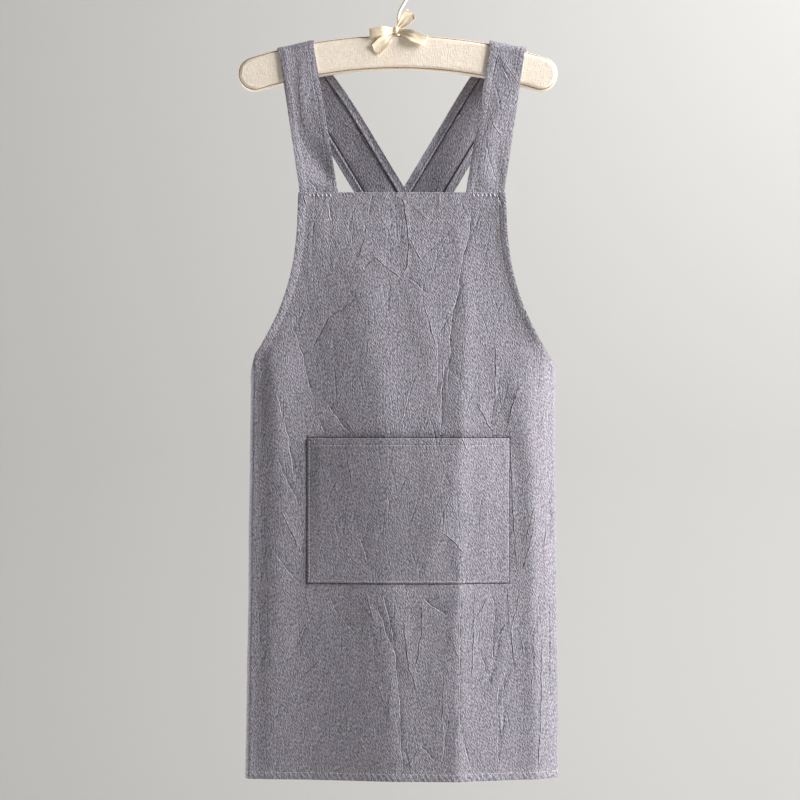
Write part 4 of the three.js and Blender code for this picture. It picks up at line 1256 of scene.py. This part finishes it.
class APRON_OT_hook(bpy.types.Operator):
    """Bends the tape-wrapped wire hook: a stem, a swing to the right and the turn over the rail"""
    bl_idname = "apron.hook"
    bl_label = "Wire Hook"

    # How far the wire's foot stands off the arm, and how far round the rail the hook turns.
    CLEAR = 0.3 * MM
    TURN = radians(205)

    def execute(self, context):
        h = {name: value * MM for name, value in sizes("hanger_sizes").items()}
        foot = h["arm_top"] + self.CLEAR
        rise = foot + h["hook_stem"]
        ring = h["wire"] / 2 - h["hook_radius"]
        drop = ring - rise
        # The stem swings right, runs straight, and meets the turn round the rail without a kink.
        bend = h["hook_bend"]
        swing = atan2(drop, bend) - acos((h["hook_radius"] + bend) / hypot(bend, drop))
        straight = drop * cos(swing) - bend * sin(swing)
        bpy.ops.object.select_all(action="DESELECT")
        bpy.ops.mesh.primitive_circle_add(vertices=16, radius=h["wire"] / 2, location=(0, 0, foot),
                                          fill_type="NGON")
        hook = context.object
        hook.name = hook.data.name = "hanger_hook_wire"
        bpy.ops.object.transform_apply(location=True, rotation=True, scale=True)
        with edit_mode():
            bpy.ops.mesh.select_all(action="SELECT")
            bpy.ops.mesh.extrude_region_move(TRANSFORM_OT_translate={"value": (0, 0, h["hook_stem"])})
            bpy.ops.mesh.spin(steps=10, angle=-swing, center=(bend, 0, rise), axis=(0, 1, 0))
            bpy.ops.mesh.extrude_region_move(
                TRANSFORM_OT_translate={"value": (straight * sin(swing), 0, straight * cos(swing))})
            bpy.ops.mesh.spin(steps=48, angle=swing + self.TURN, center=(0, 0, ring), axis=(0, 1, 0))
            bpy.ops.mesh.inset(thickness=h["wire"] / 10)
            bpy.ops.mesh.select_all(action="SELECT")
            bpy.ops.mesh.normals_make_consistent(inside=False)
        bpy.ops.object.shade_smooth_by_angle(angle=radians(50))
        hook.data.materials.append(material_named("tape"))
        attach(hook, "root")
        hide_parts("hanger_hook")
        return {"FINISHED"}


class APRON_OT_bow(bpy.types.Operator):
    """Ties the satin ribbon round the hook's foot: a knot, two loops and two tails"""
    bl_idname = "apron.bow"
    bl_label = "Ribbon Bow"

    # The way each leaves the knot in the front view, its length, end width, loop depth and lift.
    RIBBONS = ((187, 32, 11.5, 5, -7.5), (47, 30, 15, 0, -2), (225, 37.5, 15, 0, -7.0),
               (339, 39, 13.5, 3, -8.6))
    KNOT = Vector((-2.3, -7.8, -85))
    KNOT_RADIUS = 5.2
    ROWS = 13

    def execute(self, context):
        h = sizes("hanger_sizes")
        parts = [self.ribbon(h, k, *row) for k, row in enumerate(self.RIBBONS)] + [self.knot()]
        bpy.ops.object.select_all(action="DESELECT")
        for part in parts:
            part.select_set(True)
        context.view_layer.objects.active = parts[0]
        bpy.ops.object.join()
        bow = context.object
        bow.name = bow.data.name = "hanger_bow_ribbon"
        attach(bow, "root")
        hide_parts("hanger_bow")
        return {"FINISHED"}

    def ribbon(self, h, number, angle, long, end_width, loop_depth, lift):
        a = radians(angle)
        way, across = Vector((cos(a), 0, sin(a))), Vector((-sin(a), 0, cos(a)))
        t = np.linspace(0, 1, 41 if loop_depth else 19)
        turn = pi * t if loop_depth else pi / 2 * t
        reach = long * np.sin(turn)
        out = smoothstep(0, long * 0.55, reach)
        opened = 0 * t
        if loop_depth:
            opened = lerp(1.2, loop_depth / 2, smoothstep(0, long * 0.6, reach)) * np.cos(turn)
        width = lerp(4.5, end_width, out)
        off = np.linspace(1, -1, self.ROWS)[:, None]
        slant = 0 * off if loop_depth else 0.28 * end_width * np.abs(off) * smoothstep(0.7, 1, t)
        pleat = 0.9 * np.cos(off * 2.5 * pi) * (1 - smoothstep(0, long * 0.8, reach)) + 1.1 * off * off * out
        along = reach - slant
        y = lift * out + opened - pleat + 0.25 * gradient_noise(along / 7, off * 2 + number * 9, 90)
        points = np.zeros((self.ROWS, len(t), 3))
        for axis in range(3):
            points[..., axis] = self.KNOT[axis] + way[axis] * along + across[axis] * off * width / 2
        points[..., 1] += y
        flat = np.stack([np.broadcast_to(off * width / 2, along.shape) + number * 40,
                         np.broadcast_to(np.cumsum(np.abs(np.gradient(reach))), along.shape)], 2)
        holds = np.ones((self.ROWS - 1, len(t) - 1), bool)
        return cloth_piece("ribbon", points, flat, holds, np.ones((self.ROWS, len(t))),
                           (h["ribbon"], h["ribbon"]), material_named("ribbon"))

    def knot(self):
        bpy.ops.object.select_all(action="DESELECT")
        bpy.ops.mesh.primitive_uv_sphere_add(segments=24, ring_count=16, radius=self.KNOT_RADIUS * MM,
                                             location=self.KNOT * MM)
        knot = bpy.context.object
        bpy.ops.object.transform_apply(location=True, rotation=True, scale=True)
        with edit_mode():
            bpy.ops.mesh.select_all(action="SELECT")
            bpy.ops.transform.resize(value=(0.85, 0.95, 1.05), center_override=self.KNOT * MM)
        # Shallow pleats run up and down the knot.
        for vertex in knot.data.vertices:
            off = vertex.co - self.KNOT * MM
            vertex.co += off * 0.07 * cos(off.x / (0.9 * MM))
        knot.data.uv_layers[0].name = "flat"
        knot.data.materials.append(material_named("ribbon"))
        bpy.ops.object.shade_smooth()
        return knot


# Stage


class APRON_OT_stage(bpy.types.Operator):
    """Sets the pale floor and backdrop, the soft light from the right and the camera"""
    bl_idname = "apron.stage"
    bl_label = "Stage, Light and Camera"

    # In metres: the floor's height, width and depth, the backdrop's height and the bend between them,
    # and the width of the picture at the apron, the camera's distance and where it looks.
    FLOOR = -1.9
    WIDTH, DEPTH, RISE, BEND = 18, 12, 7, 1.2
    FRAME_WIDTH = 0.9796
    DISTANCE = 3.2
    AIM = Vector((0.0026, 0, -0.5363))

    def execute(self, context):
        self.sweep()
        self.lights(context)
        self.camera(context)
        return {"FINISHED"}

    def sweep(self):
        bpy.ops.object.select_all(action="DESELECT")
        bpy.ops.mesh.primitive_plane_add(size=1, location=(0, 0, self.FLOOR))
        stage = bpy.context.object
        stage.name = stage.data.name = "pale_sweep"
        stage.scale = (self.WIDTH, self.DEPTH, 1)
        back = self.DEPTH / 2 - 0.1
        bpy.ops.object.transform_apply(location=True, rotation=True, scale=True)
        with edit_mode():
            bpy.ops.mesh.select_mode(type="EDGE")
            bpy.ops.mesh.select_all(action="DESELECT")
        for edge in stage.data.edges:
            edge.select = all(stage.data.vertices[v].co.y > back for v in edge.vertices)
        with edit_mode():
            bpy.ops.mesh.extrude_region_move(TRANSFORM_OT_translate={"value": (0, 0, self.RISE)})
            bpy.ops.mesh.select_all(action="DESELECT")
        for edge in stage.data.edges:
            edge.select = all(v.y > back and v.z < self.FLOOR + 0.1
                              for v in (stage.data.vertices[n].co for n in edge.vertices))
        with edit_mode():
            bpy.ops.mesh.bevel(offset=self.BEND, segments=16)
        bpy.ops.object.shade_smooth()
        stage.data.materials.append(material_named("stage"))
        stage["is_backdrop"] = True

    def lights(self, context):
        world = bpy.data.worlds.new("pale_room")
        world.use_nodes = True
        glow = world.node_tree.nodes["Background"].inputs
        glow["Color"].default_value, glow["Strength"].default_value = linear("F1F2F1"), 0.235
        context.scene.world = world
        # Each light's name, place, aim, width and height in metres, and watts.
        for name, place, aim, width, height, watts in (
                ("window", (2.1, -0.62, 0.55), (0, 0, -0.42), 1.1, 1.5, 134),
                ("wall_bounce", (-1.9, 0.75, -0.5), (0, 0, -0.5), 1.1, 2.0, 40),
                ("backdrop", (3.2, 2.8, 2.3), (-0.3, 6, 0.3), 1.6, 2.4, 176)):
            bpy.ops.object.light_add(type="AREA", location=place)
            light = context.object
            light.name = light.data.name = name
            light.data.shape = "RECTANGLE"
            light.data.size, light.data.size_y, light.data.energy = width, height, watts
            light.rotation_euler = (Vector(aim) - Vector(place)).to_track_quat("-Z", "Y").to_euler()
            light.visible_camera = False

    def camera(self, context):
        place = self.AIM + Vector((0, -self.DISTANCE, 0))
        bpy.ops.object.camera_add(location=place, rotation=(pi / 2, 0, 0))
        camera = context.object
        camera.name = camera.data.name = "front_view"
        camera.data.lens = camera.data.sensor_width * self.DISTANCE / self.FRAME_WIDTH
        context.scene.camera = camera
        context.scene.view_settings.view_transform = "Standard"


class APRON_PT_panel(bpy.types.Panel):
    """Lists the apron's pieces in the order in which they are made"""
    bl_label = "Kitchen Apron"
    bl_idname = "APRON_PT_panel"
    bl_space_type = "VIEW_3D"
    bl_region_type = "UI"
    bl_category = "Apron"

    def draw(self, context):
        for piece in PIECES:
            self.layout.operator(piece.bl_idname)
        for group in (context.scene.apron_sizes, context.scene.hanger_sizes, context.scene.apron_colours):
            column = self.layout.column(align=True)
            for name in group.__annotations__:
                column.prop(group, name)


PIECES = (APRON_OT_stage, APRON_OT_body, APRON_OT_pocket, APRON_OT_straps, APRON_OT_hanger, APRON_OT_hook,
          APRON_OT_bow)
CLASSES = (ApronSizes, HangerSizes, ApronColours, *PIECES, APRON_PT_panel)


def register():
    for cls in CLASSES:
        bpy.utils.register_class(cls)
    bpy.types.Scene.apron_sizes = bpy.props.PointerProperty(type=ApronSizes)
    bpy.types.Scene.hanger_sizes = bpy.props.PointerProperty(type=HangerSizes)
    bpy.types.Scene.apron_colours = bpy.props.PointerProperty(type=ApronColours)


def unregister():
    del bpy.types.Scene.apron_sizes, bpy.types.Scene.hanger_sizes, bpy.types.Scene.apron_colours
    for cls in reversed(CLASSES):
        bpy.utils.unregister_class(cls)


def main():
    register()
    for make in (bpy.ops.apron.stage, bpy.ops.apron.body, bpy.ops.apron.pocket, bpy.ops.apron.straps,
                 bpy.ops.apron.hanger, bpy.ops.apron.hook, bpy.ops.apron.bow):
        make()
    boxes = {"cad": CAD_BOX, "visual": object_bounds()}
    boxes = {name: [[float(v) for v in corner] for corner in box] for name, box in boxes.items()}


if __name__ == "__main__":
    main()
